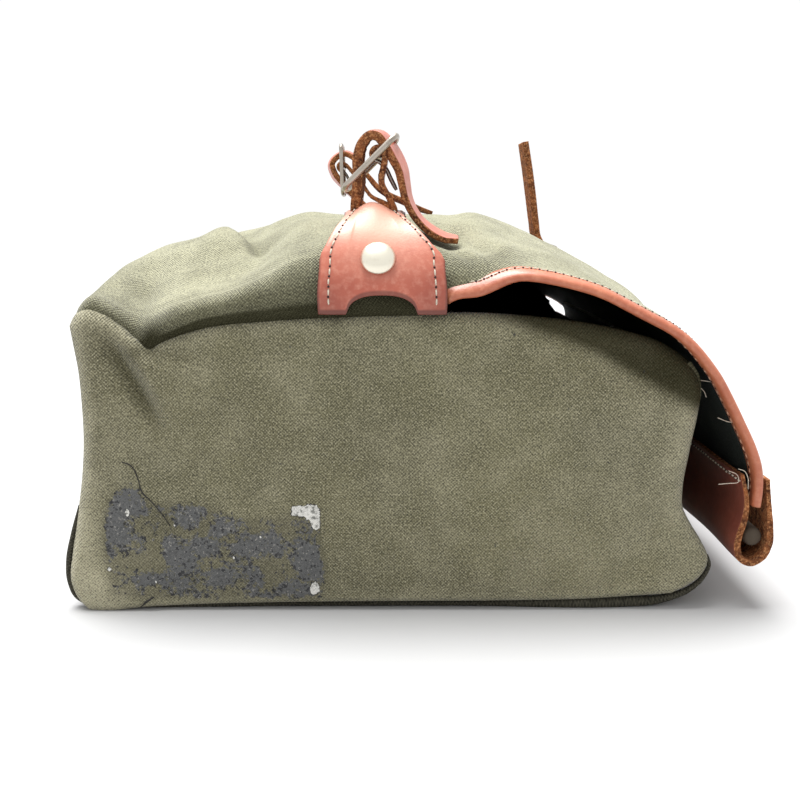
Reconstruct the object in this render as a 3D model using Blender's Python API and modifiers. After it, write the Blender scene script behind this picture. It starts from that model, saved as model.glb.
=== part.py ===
"""Canvas and leather messenger bag, standing on its base with the flap hanging closed over its front.

Blender 4.5, metres, +Z up. X runs from the back wall (-X) to the front (+X), Y along the bag's length.
The near end is at -Y and the far end at +Y. The origin is the middle of the bounding box's underside.
Design numbers below are in millimetres and are turned into metres by MM.
"""

import math

import bmesh
import bpy
from mathutils import Matrix, Vector

MM = 0.001

# Driving dimensions, mm
END_Y = 165.0  # outer face of an end panel, from the middle of the bag
CANVAS = 2.0  # waxed canvas with its lining
LINING = 1.0
BINDING = 4.4  # leather folded round the edge of the canvas
PATCH = 2.4
BAND = 2.6
STRAP = 3.8
STRAP_WIDTH = 18.0
SKIVE = 0.6  # thickness of a strap folded round its buckle bar, as a share of the rest
CLOSURE_WIDTH = 20.0
CLOSURE = 3.2
CHAPE = 2.0
SNAP_HEIGHT = 50.0
STUD_X, SOCKET_X = 108.2, 120.4
GAP = 0.3  # clearance between pieces that touch
BASE_Z = 2.3  # the underside of the canvas stands on the end welts
WELT = 4.6  # how far a welt stands out of the corner seam
HINGE_X, HINGE_Z = 31.25, 151.0  # the flap folds about this line
FLAP_START = 31.6
PATCH_X = -14.0  # middle of an end patch
PATCH_HALF = 24.2
NECK_X = -17.5  # middle of the patch's neck, where the slots are
NECK_HALF = 13.6
SLOT_LEFT, SLOT_RIGHT = -25.0, -10.0  # where a lash strap dives through its patch
SLOT_WIDTH = 6.2
STRAP_DEPTH = 22.0  # from the end panel to the nearer edge of a lash strap
BUCKLE_WIRE = 1.4
BUCKLE_LENGTH = 28.0
PRONG_WIRE = 0.9
RIVET_HEIGHT = 139.0
RIVET_RADIUS = 6.6
SHANK_RADIUS = 1.6

CANVAS_GREEN = (0.16, 0.15, 0.085, 1)
LINING_GREEN = (0.03, 0.04, 0.03, 1)
LEATHER_RED = (0.42, 0.14, 0.075, 1)
LEATHER_RAW = (0.33, 0.13, 0.05, 1)
NICKEL_GREY = (0.72, 0.70, 0.64, 1)
BOARD_BROWN = (0.20, 0.16, 0.11, 1)

# Cross-sections, in (X, Z). The two end panels and the walls share one outline.
BACK_WALL = [(-131.0, 113.0), (-128.5, 88.0), (-129.8, 62.0), (-134.0, 34.0)]
FRONT_WALL = [(104.5, 94.0), (104.0, 65.0), (104.5, 48.0), (108.0, 32.0)]
BACK_CORNER = (-120.4, 17.3, 15.0)  # centre X, centre Z, radius
FRONT_CORNER = (96.5, 16.3, 14.0)
END_TOP = [(101.5, 99.5), (84.0, 108.5), (53.0, 116.0), (11.0, 118.5), (-60.0, 117.5), (-126.0, 117.5)]
# The far end panel sags at its front.
END_TOP_FAR = [(99.0, 94.0), (91.0, 98.0), (80.0, 105.0), (53.0, 114.0), (11.0, 118.5), (-60.0, 117.5),
               (-126.0, 117.5)]

# Height of the top canvas along its middle, and along its ends where it is sewn to the end panels.
TOP_CROWN = [(-131, 117), (-126, 124), (-112, 133), (-100, 139), (-90, 144), (-78, 149), (-60, 151.5),
             (-45, 154), (-30, 155.5), (0, 156), (12, 155.5), (24, 153), (30.9, 150.6)]
TOP_END = [(-131, 117), (-126, 119), (-112, 119.5), (-100, 119.5), (-90, 119.5), (-78, 119.5), (-60, 119.5),
           (-45, 120), (-30, 120), (0, 120), (12, 121.5), (24, 125.5), (30.9, 129)]
FLAP_CROWN = [(FLAP_START, 150.3), (40, 146.8), (50, 142.5), (62, 137.5), (75, 131.5), (88, 123.5),
              (101, 111.5), (112.5, 97), (121, 83), (127, 71), (130.6, 60), (132, 51)]
FLAP_END = [(FLAP_START, 129.4), (40, 133.8), (50, 134.6), (62, 131.8), (75, 126.5), (88, 118.5),
            (101, 109), (112.5, 96), (121.5, 83), (128, 71), (131.8, 60), (133.3, 51)]
BAND_PATH = [(137.2, 62), (138.2, 50), (138.7, 38), (138.4, 28), (136.0, 20.8), (131.0, 18.3), (126.2, 21.5),
             (124.6, 30), (125.4, 40), (126.4, 50), (126.6, 56)]
# How far up the top canvas has risen, by distance from the end panel.
RISE = [(0, 0.0), (2, 0.34), (5, 0.55), (9, 0.67), (14, 0.73), (22, 0.77), (34, 0.81), (50, 0.88),
        (75, 0.96), (105, 1.0), (163, 1.0)]
CINCH = 4.0  # the closure strap draws the flap in at the middle by this much
CINCH_SPREAD = 55.0


def clear_scene():
    for obj in list(bpy.data.objects):
        bpy.data.objects.remove(obj)


def material(name, color, roughness, metallic=0.0):
    made = bpy.data.materials.new(name)
    made.use_nodes = True
    shader = made.node_tree.nodes["Principled BSDF"]
    shader.inputs["Base Color"].default_value = color
    shader.inputs["Roughness"].default_value = roughness
    shader.inputs["Metallic"].default_value = metallic
    return made


def new_object(name, data, look):
    obj = bpy.data.objects.new(name, data)
    BAG.objects.link(obj)
    if look is not None:
        obj.data.materials.append(look)
    return obj


def straight(points, x):
    """The height at x on the broken line through points."""
    for (x0, z0), (x1, z1) in zip(points, points[1:]):
        if x <= x1:
            break
    t = min(1.0, max(0.0, (x - x0) / (x1 - x0)))
    return z0 + (z1 - z0) * t


def smooth_path(points, share):
    """The point at share (0 to 1) of a smooth curve through points."""
    spans = len(points) - 1
    at = min(max(share, 0.0), 1.0) * spans
    i = min(int(at), spans - 1)
    t = at - i
    p1, p2 = Vector(points[i]), Vector(points[i + 1])
    p0 = Vector(points[i - 1]) if i > 0 else p1 * 2 - p2
    p3 = Vector(points[i + 2]) if i + 2 <= spans else p2 * 2 - p1
    return 0.5 * ((2 * p1) + (p2 - p0) * t + (2 * p0 - 5 * p1 + 4 * p2 - p3) * t * t
                  + (3 * p1 - p0 - 3 * p2 + p3) * t ** 3)


def broken_path(points, share):
    """The point at share (0 to 1) of the broken line through points, with an equal share for each stretch."""
    at = min(max(share, 0.0), 1.0) * (len(points) - 1)
    i = min(int(at), len(points) - 2)
    return Vector(points[i]).lerp(Vector(points[i + 1]), at - i)


def arc(centre_x, centre_z, radius, start, end, steps):
    """Points of an arc, in degrees from +X towards +Z."""
    turned = []
    for i in range(steps + 1):
        a = math.radians(start + (end - start) * i / steps)
        turned.append((centre_x + radius * math.cos(a), centre_z + radius * math.sin(a)))
    return turned


def wall_outline():
    """The outer line of the canvas from the top of the back wall, under the base, to the top of the front wall."""
    back = arc(*BACK_CORNER, 180, 270, 6)
    front = arc(*FRONT_CORNER, 270, 360, 6)
    return BACK_WALL + back + front + FRONT_WALL[::-1]


def sheet(name, surface, columns, rows, thickness, look, side=-1.0):
    """A shell: an open grid laid on surface(u, v), mm, u and v from 0 to 1, and given its thickness."""
    bm = bmesh.new()
    bmesh.ops.create_grid(bm, x_segments=columns, y_segments=rows, size=0.5)
    for vert in bm.verts:
        vert.co = Vector(surface(vert.co.x + 0.5, vert.co.y + 0.5)) * MM
    mesh = bpy.data.meshes.new(name)
    bm.to_mesh(mesh)
    bm.free()
    obj = new_object(name, mesh, look)
    solid = obj.modifiers.new("thickness", "SOLIDIFY")
    solid.thickness = thickness * MM
    solid.offset = side
    solid.use_even_offset = True
    mesh.shade_smooth()
    return obj


def raised(surface, height):
    """The same surface, moved along its own normal."""
    step = 0.002

    def moved(u, v):
        u0, u1 = max(0.0, u - step), min(1.0, u + step)
        v0, v1 = max(0.0, v - step), min(1.0, v + step)
        along = Vector(surface(u1, v)) - Vector(surface(u0, v))
        across = Vector(surface(u, v1)) - Vector(surface(u, v0))
        return Vector(surface(u, v)) + along.cross(across).normalized() * height

    return moved


def ribbon(name, path, y_low, y_high, thickness, look, steps, skived=0.0):
    """A strap whose path of (X, Z) points is the middle of its thickness. Its first share, skived, is thinner."""
    width = y_high - y_low

    def surface(u, v):
        at = smooth_path(path, u)
        return at.x, y_low + width * v, at.y

    strap = sheet(name, surface, steps, 1, thickness, look, side=0.0)
    full = strap.vertex_groups.new(name="full_thickness")
    columns = steps + 1
    for vert in strap.data.vertices:
        if (vert.index % columns) / steps > skived:
            full.add([vert.index], 1.0, "REPLACE")
    strap.modifiers["thickness"].vertex_group = full.name
    strap.modifiers["thickness"].thickness_vertex_group = SKIVE
    return strap


def outline_plate(name, outline, y_low, y_high, look):
    """A flat plate in the X-Z plane."""
    curve = bpy.data.curves.new(name, "CURVE")
    curve.dimensions = "2D"
    curve.fill_mode = "BOTH"
    curve.extrude = (y_high - y_low) / 2 * MM
    spline = curve.splines.new("POLY")
    spline.points.add(len(outline) - 1)
    for point, (x, z) in zip(spline.points, outline):
        point.co = (x * MM, z * MM, 0, 1)
    spline.use_cyclic_u = True
    obj = new_object(name, curve, look)
    obj.rotation_euler = (math.pi / 2, 0, 0)
    obj.location = (0, (y_low + y_high) / 2 * MM, 0)
    return obj


def wire(name, points, radius, look, cyclic=False, sides=2):
    """A bent wire as a mesh, so that a Boolean can use it."""
    curve = bpy.data.curves.new(name + "_line", "CURVE")
    curve.dimensions = "3D"
    curve.bevel_depth = radius * MM
    curve.bevel_resolution = sides
    curve.use_fill_caps = not cyclic
    spline = curve.splines.new("POLY")
    spline.points.add(len(points) - 1)
    for point, at in zip(spline.points, points):
        point.co = (*(Vector(at) * MM), 1)
    spline.use_cyclic_u = cyclic
    guide = bpy.data.objects.new(name + "_line", curve)
    BAG.objects.link(guide)
    graph = bpy.context.evaluated_depsgraph_get()
    mesh = bpy.data.meshes.new_from_object(guide.evaluated_get(graph))
    bpy.data.objects.remove(guide)
    bm = bmesh.new()
    bm.from_mesh(mesh)
    bmesh.ops.remove_doubles(bm, verts=bm.verts, dist=0.00001)
    bmesh.ops.recalc_face_normals(bm, faces=bm.faces)
    bm.to_mesh(mesh)
    bm.free()
    mesh.name = name
    mesh.materials.clear()
    obj = new_object(name, mesh, look)
    mesh.shade_smooth()
    return obj


def turned(name, profile, place, look, steps=24):
    """A shape turned about its own Z from (radius, height) points that run down its outer side."""
    mesh = bpy.data.meshes.new(name)
    mesh.from_pydata([(r * MM, 0, h * MM) for r, h in profile], [(i, i + 1) for i in range(len(profile) - 1)], [])
    obj = new_object(name, mesh, look)
    screw = obj.modifiers.new("turn", "SCREW")
    screw.steps = steps
    screw.render_steps = steps
    screw.use_merge_vertices = True
    screw.merge_threshold = 0.00001
    screw.use_smooth_shade = True
    obj.matrix_world = place
    return obj


def hide_cutter(obj):
    BAG.objects.unlink(obj)
    CUTTERS.objects.link(obj)
    obj.hide_render = True
    obj.display_type = "WIRE"
    return obj


def box_cutter(name, low, high):
    bm = bmesh.new()
    bmesh.ops.create_cube(bm, size=1.0)
    size = Vector(high) - Vector(low)
    middle = (Vector(high) + Vector(low)) / 2
    for vert in bm.verts:
        vert.co = Vector((vert.co.x * size.x, vert.co.y * size.y, vert.co.z * size.z)) * MM + middle * MM
    mesh = bpy.data.meshes.new(name)
    bm.to_mesh(mesh)
    bm.free()
    return hide_cutter(new_object(name, mesh, None))


def rod_cutter(name, radius, length, place):
    bm = bmesh.new()
    bmesh.ops.create_cone(bm, cap_ends=True, segments=24, radius1=radius * MM, radius2=radius * MM, depth=length * MM)
    mesh = bpy.data.meshes.new(name)
    bm.to_mesh(mesh)
    bm.free()
    obj = new_object(name, mesh, None)
    obj.matrix_world = place
    return hide_cutter(obj)


def boolean(obj, other, operation="DIFFERENCE"):
    step = obj.modifiers.new(other.name, "BOOLEAN")
    step.operation = operation
    step.solver = "EXACT"
    step.use_self = True
    step.object = other


def rise(y):
    """0 at an end panel's edge and 1 along the middle of the bag."""
    return straight(RISE, END_Y - CANVAS - GAP - abs(y))


def rise_row(v):
    """Y, mm, for v from 0 to 1, with more rows where the canvas rises steeply."""
    half = END_Y - CANVAS - GAP
    s = abs(2 * v - 1)
    return math.copysign(half * (1 - (1 - s) ** 2), v - 0.5)


# ---------------------------------------------------------------- canvas body

def wall_surface(u, v):
    """The outer face of the canvas that makes the back wall, base and front wall."""
    at = broken_path(wall_outline(), u)
    half = END_Y - CANVAS - GAP
    y = -half + 2 * half * v
    belly = 3.0 * math.cos(y / half * math.pi / 2) * math.sin(min(max((at.y - 20) / 85, 0.0), 1.0) * math.pi)
    return at.x + math.copysign(belly, at.x), y, at.y


def make_walls():
    sheet("body_wrap", wall_surface, 42, 8, CANVAS, CANVAS_LOOK, side=1.0)
    for side, name, top in ((-1, "near", END_TOP), (1, "far", END_TOP_FAR)):
        low, high = sorted((side * END_Y, side * (END_Y - CANVAS)))
        outline_plate("end_panel_" + name, wall_outline() + top, low, high, CANVAS_LOOK)


def make_welts():
    """A folded strip sewn into each end seam: it stands out of the two lower corners and the bag rests on it."""
    outer = [(x, z) for x, z in wall_outline() if z < 50]
    ring_in, ring_out = [], []
    for i, (x, z) in enumerate(outer):
        before, after = outer[max(0, i - 1)], outer[min(len(outer) - 1, i + 1)]
        along = Vector((after[0] - before[0], after[1] - before[1])).normalized()
        out = Vector((along.y, -along.x))
        down = max(0.0, -out.y)
        reach = WELT + (BASE_Z - WELT) * down ** 2
        ring_in.append((x + out.x * GAP, z + out.y * GAP))
        ring_out.append((x + out.x * reach, max(0.0, z + out.y * reach)))
    for side, name in ((-1, "near"), (1, "far")):
        low, high = sorted((side * (END_Y - 0.6), side * (END_Y - 4.6)))
        outline_plate("end_welt_" + name, ring_in + ring_out[::-1], low, high, CANVAS_LOOK)


def top_surface(u, v):
    """The outer face of the canvas from the back wall over to the flap's root."""
    crown_low, crown_high = TOP_CROWN[0][0], TOP_CROWN[-1][0]
    x = crown_low + (crown_high - crown_low) * u
    y = rise_row(v)
    low, high = straight(TOP_END, x), straight(TOP_CROWN, x)
    return x, y, low + (high - low) * rise(y)


def make_top():
    top = sheet("top_panel", top_surface, 18, 22, CANVAS, CANVAS_LOOK)
    for side, name in ((-1, "near"), (1, "far")):
        boolean(top, rod_cutter("rivet_hole_" + name, SHANK_RADIUS + GAP, 30, rivet_place(side)))


def make_inside():
    board = [(-114, 4.8), (92, 4.8), (92, 7.8), (-114, 7.8)]
    outline_plate("base_board", board, -(END_Y - 8), END_Y - 8, BOARD_LOOK)

    def pocket(u, v):
        shares = (0.015, 0.105)  # stretch of the wall outline that the pocket covers
        at = wall_surface(shares[0] + (shares[1] - shares[0]) * u, 0.27 + 0.46 * v)
        return at[0] + CANVAS + GAP, at[1], at[2]

    sheet("inner_pocket", pocket, 6, 6, 1.2, LINING_LOOK, side=1.0)

    def facing(u, v):
        at = wall_surface(0.915 + 0.08 * u, 0.02 + 0.96 * v)
        return at[0] - CANVAS - GAP, at[1], at[2]

    sheet("mouth_facing", facing, 4, 8, 1.2, CANVAS_LOOK, side=1.0)


# ---------------------------------------------------------------- flap

def flap_surface(u, v):
    """The outer face of the flap's canvas."""
    y = rise_row(v) * (END_Y - BINDING - GAP) / (END_Y - CANVAS - GAP)
    return flap_point(u, y)


def flap_point(u, y):
    low, high = smooth_path(FLAP_END, u), smooth_path(FLAP_CROWN, u)
    at = low + (high - low) * rise(y)
    return at.x - cinch(y) * u * u, y, at.y


def cinch(y):
    return CINCH * math.exp(-(y / CINCH_SPREAD) ** 2)


def make_flap():
    sheet("flap_canvas", flap_surface, 22, 22, CANVAS, CANVAS_LOOK)
    sheet("flap_lining", raised(flap_surface, -CANVAS - GAP), 22, 22, LINING, LINING_LOOK)
    for side, name in ((-1, "near"), (1, "far")):
        outer, inner = side * END_Y, side * (END_Y - BINDING)

        def strip(u, v):
            x, _, z = flap_point(u, side * (END_Y - CANVAS - GAP))
            return x, min(outer, inner) + BINDING * v, z

        sheet("flap_binding_" + name, raised(strip, 0.6), 22, 1, BINDING, LEATHER_LOOK)

    def band(u, v):
        at = smooth_path(BAND_PATH, u)
        y = END_Y * (2 * v - 1)
        return at.x - cinch(y), y, at.y

    sheet("flap_front_band", band, 40, 16, BAND, LEATHER_LOOK, side=0.0)


# ---------------------------------------------------------------- end patches, rivets and lash straps

def patch_profile(share):
    """(distance in from the end panel, height) of the patch's underside, from its lower edge inwards."""
    points = [(-0.4, 119.5), (-0.5, 127), (0.4, 134.5), (3.0, 141.5), (8, 147.4), (15, 151.4), (24, 154.2),
              (35, 154.8), (46, 153.9), (56, 153.5)]
    return smooth_path(points, share)


def patch_width(share):
    """(half the patch's width, its middle's X) at a share of the way up: a broad foot and a narrower neck."""
    narrowed = min(max((share - 0.30) / 0.34, 0.0), 1.0)
    narrowed = narrowed * narrowed * (3 - 2 * narrowed)
    return PATCH_HALF + (NECK_HALF - PATCH_HALF) * narrowed, PATCH_X + (NECK_X - PATCH_X) * narrowed


def patch_surface(side):
    def surface(u, v):
        at = patch_profile(v)
        half, middle = patch_width(v)
        return middle - side * half * (2 * u - 1), side * (END_Y - at.x), at.y
    return surface


def rivet_place(side):
    """Frame of a rivet: its Z points out of the patch."""
    point = Vector((PATCH_X - 1.6, side * (END_Y + 0.6), RIVET_HEIGHT)) * MM
    out = Vector((0, side, 0.42)).normalized()
    return Matrix.Translation(point) @ out.to_track_quat("Z", "Y").to_matrix().to_4x4()


def make_patch(side, name):
    patch = sheet("end_patch_" + name, patch_surface(side), 8, 26, PATCH, LEATHER_LOOK, side=1.0)
    y_in, y_out = side * (END_Y - STRAP_DEPTH + 1.5), side * (END_Y - STRAP_DEPTH - STRAP_WIDTH - 1.5)
    low_y, high_y = min(y_in, y_out), max(y_in, y_out)
    for label, x in (("left", SLOT_LEFT), ("right", SLOT_RIGHT)):
        low = (x - SLOT_WIDTH / 2, low_y, 147)
        high = (x + SLOT_WIDTH / 2, high_y, 170)
        boolean(patch, box_cutter(f"slot_{label}_{name}", low, high))
    place = Matrix.Translation(Vector((PATCH_X, side * END_Y, 108.0)) * MM) @ Matrix.Rotation(math.pi / 2, 4, "X")
    boolean(patch, rod_cutter("arch_" + name, 17.0, 40, place))
    boolean(patch, rod_cutter("patch_rivet_hole_" + name, SHANK_RADIUS + GAP, 30, rivet_place(side)))


def make_rivet(side, name):
    place = rivet_place(side)
    seat = 0.5  # the cap's rim clears the curved leather
    shank = -12.0  # through the patch and the canvas under it
    cap = [(0, seat + 2.6), (3.0, seat + 2.4), (5.0, seat + 1.8), (RIVET_RADIUS, seat + 0.7), (RIVET_RADIUS, seat),
           (SHANK_RADIUS, seat), (SHANK_RADIUS, shank), (0, shank)]
    turned("end_rivet_" + name, cap, place, NICKEL_LOOK)


# Each lash strap starts at the fold on its buckle's bar, dives through the right slot, comes up through the
# left one, passes through the frame and back, and ends in a free tail. The fold itself is worked out from the bar.
UNDER_BRIDGE = [(-9.8, 157.0), (-10.2, 153.8), (-12.4, 151.8), (-17.5, 151.6), (-22.6, 151.8), (-24.8, 153.8)]
LASH_NEAR = [(-14.6, 167.5), (-11.6, 161.6)] + UNDER_BRIDGE + [
    (-25.0, 157.4), (-23.8, 163.8), (-22.6, 170.0), (-23.2, 177.0), (-21.8, 183.0),
    (-17.6, 187.0), (-13.6, 186.6), (-10.2, 184.0), (-7.6, 179.4), (-5.9, 173.0), (-4.4, 166.0),
    (-1.4, 162.2), (4.4, 160.8), (9.8, 158.2), (14.7, 153.6)]
LASH_FAR = [(-39.0, 185.0), (-32.5, 177.4), (-26.5, 169.4), (-19.0, 165.2), (-12.6, 161.4)] + UNDER_BRIDGE + [
    (-25.1, 157.4), (-29.6, 161.8), (-38.4, 169.6), (-45.6, 177.0), (-51.0, 183.6), (-52.6, 190.2),
    (-49.2, 194.6), (-43.5, 196.9), (-38.2, 194.6), (-33.5, 188.6), (-27.5, 181.0), (-21.0, 173.8),
    (-14.0, 169.4), (-5.0, 165.6), (4.0, 161.4), (14.0, 158.0)]
NEAR_FRAME = ((-29.8, 164.7), (-7.8, 186.8))
FAR_FRAME = ((-44.7, 170.5), (-45.6, 201.4))


def place_y(side, from_end):
    return side * (END_Y - from_end)


def buckle_frame(name, start, end, y_low, y_high, bar_share):
    """A rectangular wire frame whose long sides run from start to end in X-Z. A centre bar crosses it at bar_share."""
    start, end = Vector(start), Vector(end)
    along = (end - start).normalized()
    corner = 3.5
    length = (end - start).length
    loop = []
    for cx, cy, turn in ((length - corner, y_high - corner, 0), (corner, y_high - corner, 90),
                         (corner, y_low + corner, 180), (length - corner, y_low + corner, 270)):
        for i in range(5):
            a = math.radians(turn + 22.5 * i)
            s = cx + corner * math.cos(a)
            loop.append((start.x + along.x * s, cy + corner * math.sin(a), start.y + along.y * s))
    frame = wire(name, loop, BUCKLE_WIRE, NICKEL_LOOK, cyclic=True)
    if bar_share is None:
        return start
    bar_at = start + along * length * bar_share
    bar = wire(name + "_bar", [(bar_at.x, y_low, bar_at.y), (bar_at.x, y_high, bar_at.y)], BUCKLE_WIRE * 0.9, None)
    boolean(frame, hide_cutter(bar), "UNION")
    return bar_at


def prong(name, pivot, tip, y):
    """A wire prong with an eye that turns on the buckle's bar."""
    pivot, tip = Vector(pivot), Vector(tip)
    eye = BUCKLE_WIRE * 0.9 + PRONG_WIRE + 0.35
    heading = math.atan2(tip.y - pivot.y, tip.x - pivot.x)
    points = []
    for i in range(11):
        a = heading + math.radians(50 + 28 * i)
        points.append((pivot.x + eye * math.cos(a), y, pivot.y + eye * math.sin(a)))
    length = (tip - pivot).length
    for share in (0.35, 0.7, 1.0):
        at = pivot + (tip - pivot) * share
        points.append((at.x, y, at.y))
    return wire(name, points, PRONG_WIRE, NICKEL_LOOK), length


def fold_round(bar, first):
    """The loop of a strap round its bar, ending where the leg, whose first point is given, starts."""
    radius = BUCKLE_WIRE * 0.9 + GAP + STRAP * SKIVE / 2
    heading = math.degrees(math.atan2(first[1] - bar[1], first[0] - bar[0]))
    loop = []
    for i in range(6):
        a = math.radians(heading + 295 - 45 * i)
        loop.append((bar[0] + radius * math.cos(a), bar[1] + radius * math.sin(a)))
    return loop


def make_lash(side, name, path, frame_line, bar_share, prong_tip, notch):
    y_a, y_b = place_y(side, STRAP_DEPTH), place_y(side, STRAP_DEPTH + STRAP_WIDTH)
    low, high = min(y_a, y_b), max(y_a, y_b)
    middle = (low + high) / 2
    reach = 3.2 + BUCKLE_WIRE
    bar = buckle_frame("lash_buckle_" + name, *frame_line, low - reach, high + reach, bar_share)
    fold = fold_round(bar, path[0])
    whole = fold + path
    strap = ribbon("lash_strap_" + name, whole, low, high, STRAP, RAW_LOOK, 84, skived=7 / (len(whole) - 1))
    notch_low = (bar.x - 4.3, middle - PRONG_WIRE - 0.8, bar.y - notch)
    notch_high = (bar.x + 4.3, middle + PRONG_WIRE + 0.8, bar.y + 4.15)
    boolean(strap, box_cutter("prong_notch_" + name, notch_low, notch_high))
    prong("lash_prong_" + name, bar, prong_tip, middle)
    PRONG_AXES["lash_prong_" + name] = (bar.x, middle, bar.y)


# ---------------------------------------------------------------- closure strap

def over_flap(u, height):
    """(X, Z) of a point above the flap's outer face along the middle of the bag."""
    step = 0.002
    here = Vector(flap_point(u, 0.0))
    along = Vector(flap_point(min(1.0, u + step), 0.0)) - Vector(flap_point(max(0.0, u - step), 0.0))
    normal = Vector((-along.z, 0, along.x)).normalized()
    at = here + normal * height
    return at.x, at.z


def make_closure():
    """A strap sewn to the flap's front: it runs up under a buckle's front bar and its tail stands up through it."""
    half = CLOSURE_WIDTH / 2
    rear, front = Vector((49.2, 147.6)), Vector((75.4, 137.6))
    bar = buckle_frame("closure_buckle", rear, front, -half - 3.4, half + 3.4, None)
    lift = GAP * 3 + CLOSURE / 2
    tail = [(57.6, 193.5), (60.0, 179.5), (62.2, 165.0), (63.9, 153.0), (65.6, 144.0), (69.6, 137.8)]
    run = [over_flap(u, lift) for u in (0.40, 0.46, 0.54, 0.62, 0.70, 0.78)]
    end = [(130.6, 71.0), (135.0, 66.0), (137.5, 60.0), (138.2, 53.0), (138.3, 45.0), (138.3, 37.0), (138.2, 29.0)]
    strap = ribbon("closure_strap", tail + run + end, -half, half, CLOSURE, RAW_LOOK, 60)
    boolean(strap, box_cutter("prong_hole", (61.5, -2.2, 139.5), (70, 2.2, 148.5)))
    tip = (front - rear) * 1.05 + rear + Vector((0.9, 2.7))
    prong("closure_prong", bar, tip, 0.0)
    PRONG_AXES["closure_prong"] = (bar.x, 0.0, bar.y)

    bend = BUCKLE_WIRE * 0.9 + GAP + CHAPE / 2
    under, over = GAP + CHAPE / 2, GAP * 2 + CHAPE * 1.5
    lower = [(36.4, 148.6 + under), (40.0, 146.9 + under), (44.0, 145.1 + under)]
    upper = [(44.6, 145.4 + over + 0.6), (41.0, 146.5 + over + 0.3), (37.4, 148.2 + over)]
    fold = [(bar.x + bend * math.cos(math.radians(a)), bar.y + bend * math.sin(math.radians(a)))
            for a in (-110, -65, -20, 25, 70)]
    chape = ribbon("closure_chape", lower + fold + upper, -half, half, CHAPE, RAW_LOOK, 40)
    boolean(chape, box_cutter("chape_notch", (44.8, -2.2, 140), (56, 2.2, 156)))


def make_snap():
    """Two halves of a press fastener: the stud on the front wall and the socket inside the band."""
    facing = Matrix.Rotation(math.pi / 2, 4, "Y")
    stud_at = Matrix.Translation(Vector((STUD_X, 0, SNAP_HEIGHT)) * MM)
    stud = [(0, 3.4), (1.6, 3.2), (2.2, 2.2), (1.9, 1.2), (5.5, 1.0), (6.0, 0), (0, 0)]
    turned("closure_snap_stud", stud, stud_at @ facing, NICKEL_LOOK)
    socket_at = Matrix.Translation(Vector((SOCKET_X, 0, SNAP_HEIGHT)) * MM)
    socket = [(3.0, 0), (6.0, 0), (5.6, 2.2), (3.0, 2.4)]
    ring = turned("closure_snap_socket", socket[::-1] + [socket[-1]], socket_at, NICKEL_LOOK)
    ring.matrix_world = socket_at @ Matrix.Rotation(-math.pi / 2, 4, "Y")


def hang_on(axis_name, x, y, z, names):
    """Parents the named pieces to an empty that stands on the axis they turn about."""
    axis = bpy.data.objects.new(axis_name, None)
    axis.empty_display_size = 0.01
    axis.location = Vector((x, y, z)) * MM
    BAG.objects.link(axis)
    bpy.context.view_layer.update()
    for name in names:
        piece = bpy.data.objects[name]
        piece.parent = axis
        piece.matrix_parent_inverse = axis.matrix_world.inverted()
    return axis


def main():
    make_walls()
    make_welts()
    make_top()
    make_inside()
    make_flap()
    for side, name in ((-1, "near"), (1, "far")):
        make_patch(side, name)
        make_rivet(side, name)
    make_lash(-1, "near", LASH_NEAR, NEAR_FRAME, 0.63, (-8.8, 165.0), 9.0)
    make_lash(1, "far", LASH_FAR, FAR_FRAME, 0.56, (-39.4, 175.6), 5.0)
    make_closure()
    make_snap()
    flap = ["flap_canvas", "flap_lining", "flap_binding_near", "flap_binding_far", "flap_front_band",
            "closure_strap", "closure_chape", "closure_buckle", "closure_snap_socket"]
    flap_axis = hang_on("flap_axis", HINGE_X, 0, HINGE_Z, flap)
    for name, (x, y, z) in PRONG_AXES.items():
        prong_axis = hang_on(name + "_axis", x, y, z, [name])
        if name == "closure_prong":
            prong_axis.parent = flap_axis
            prong_axis.matrix_parent_inverse = flap_axis.matrix_world.inverted()


clear_scene()
BAG = bpy.data.collections.new("messenger_bag")
CUTTERS = bpy.data.collections.new("cutters")
for group in (BAG, CUTTERS):
    bpy.context.scene.collection.children.link(group)
CANVAS_LOOK = material("canvas", CANVAS_GREEN, 0.85)
LINING_LOOK = material("lining", LINING_GREEN, 0.9)
LEATHER_LOOK = material("leather", LEATHER_RED, 0.45)
RAW_LOOK = material("raw_leather", LEATHER_RAW, 0.8)
NICKEL_LOOK = material("nickel", NICKEL_GREY, 0.25, 1.0)
BOARD_LOOK = material("board", BOARD_BROWN, 0.8)
PRONG_AXES = {}
main()
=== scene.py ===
"""Looks of the messenger bag: worn waxed canvas, stitched reddish leather and nickel hardware, on a pale floor.

Lengths in this script are millimetres until put() turns them into metres. X runs from the back of the bag to its
front, Y from the near end to the far end, and Z up.
"""

import math

import bmesh
import bpy
import numpy as np
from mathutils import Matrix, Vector, noise


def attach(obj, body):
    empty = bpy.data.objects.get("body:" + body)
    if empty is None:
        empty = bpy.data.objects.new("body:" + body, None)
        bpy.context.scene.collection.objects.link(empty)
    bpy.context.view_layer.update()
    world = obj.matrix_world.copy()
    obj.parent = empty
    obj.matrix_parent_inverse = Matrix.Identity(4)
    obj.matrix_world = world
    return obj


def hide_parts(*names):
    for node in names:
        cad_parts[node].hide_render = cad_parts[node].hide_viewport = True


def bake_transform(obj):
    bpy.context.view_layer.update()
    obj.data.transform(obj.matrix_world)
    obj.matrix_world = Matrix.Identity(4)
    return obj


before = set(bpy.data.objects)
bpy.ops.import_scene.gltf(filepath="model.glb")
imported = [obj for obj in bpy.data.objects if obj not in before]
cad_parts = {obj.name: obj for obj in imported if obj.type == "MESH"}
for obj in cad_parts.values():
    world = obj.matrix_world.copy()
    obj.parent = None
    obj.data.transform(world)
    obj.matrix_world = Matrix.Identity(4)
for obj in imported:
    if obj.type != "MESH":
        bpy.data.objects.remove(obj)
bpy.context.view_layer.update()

MM = 0.001
END = 165.0
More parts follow.
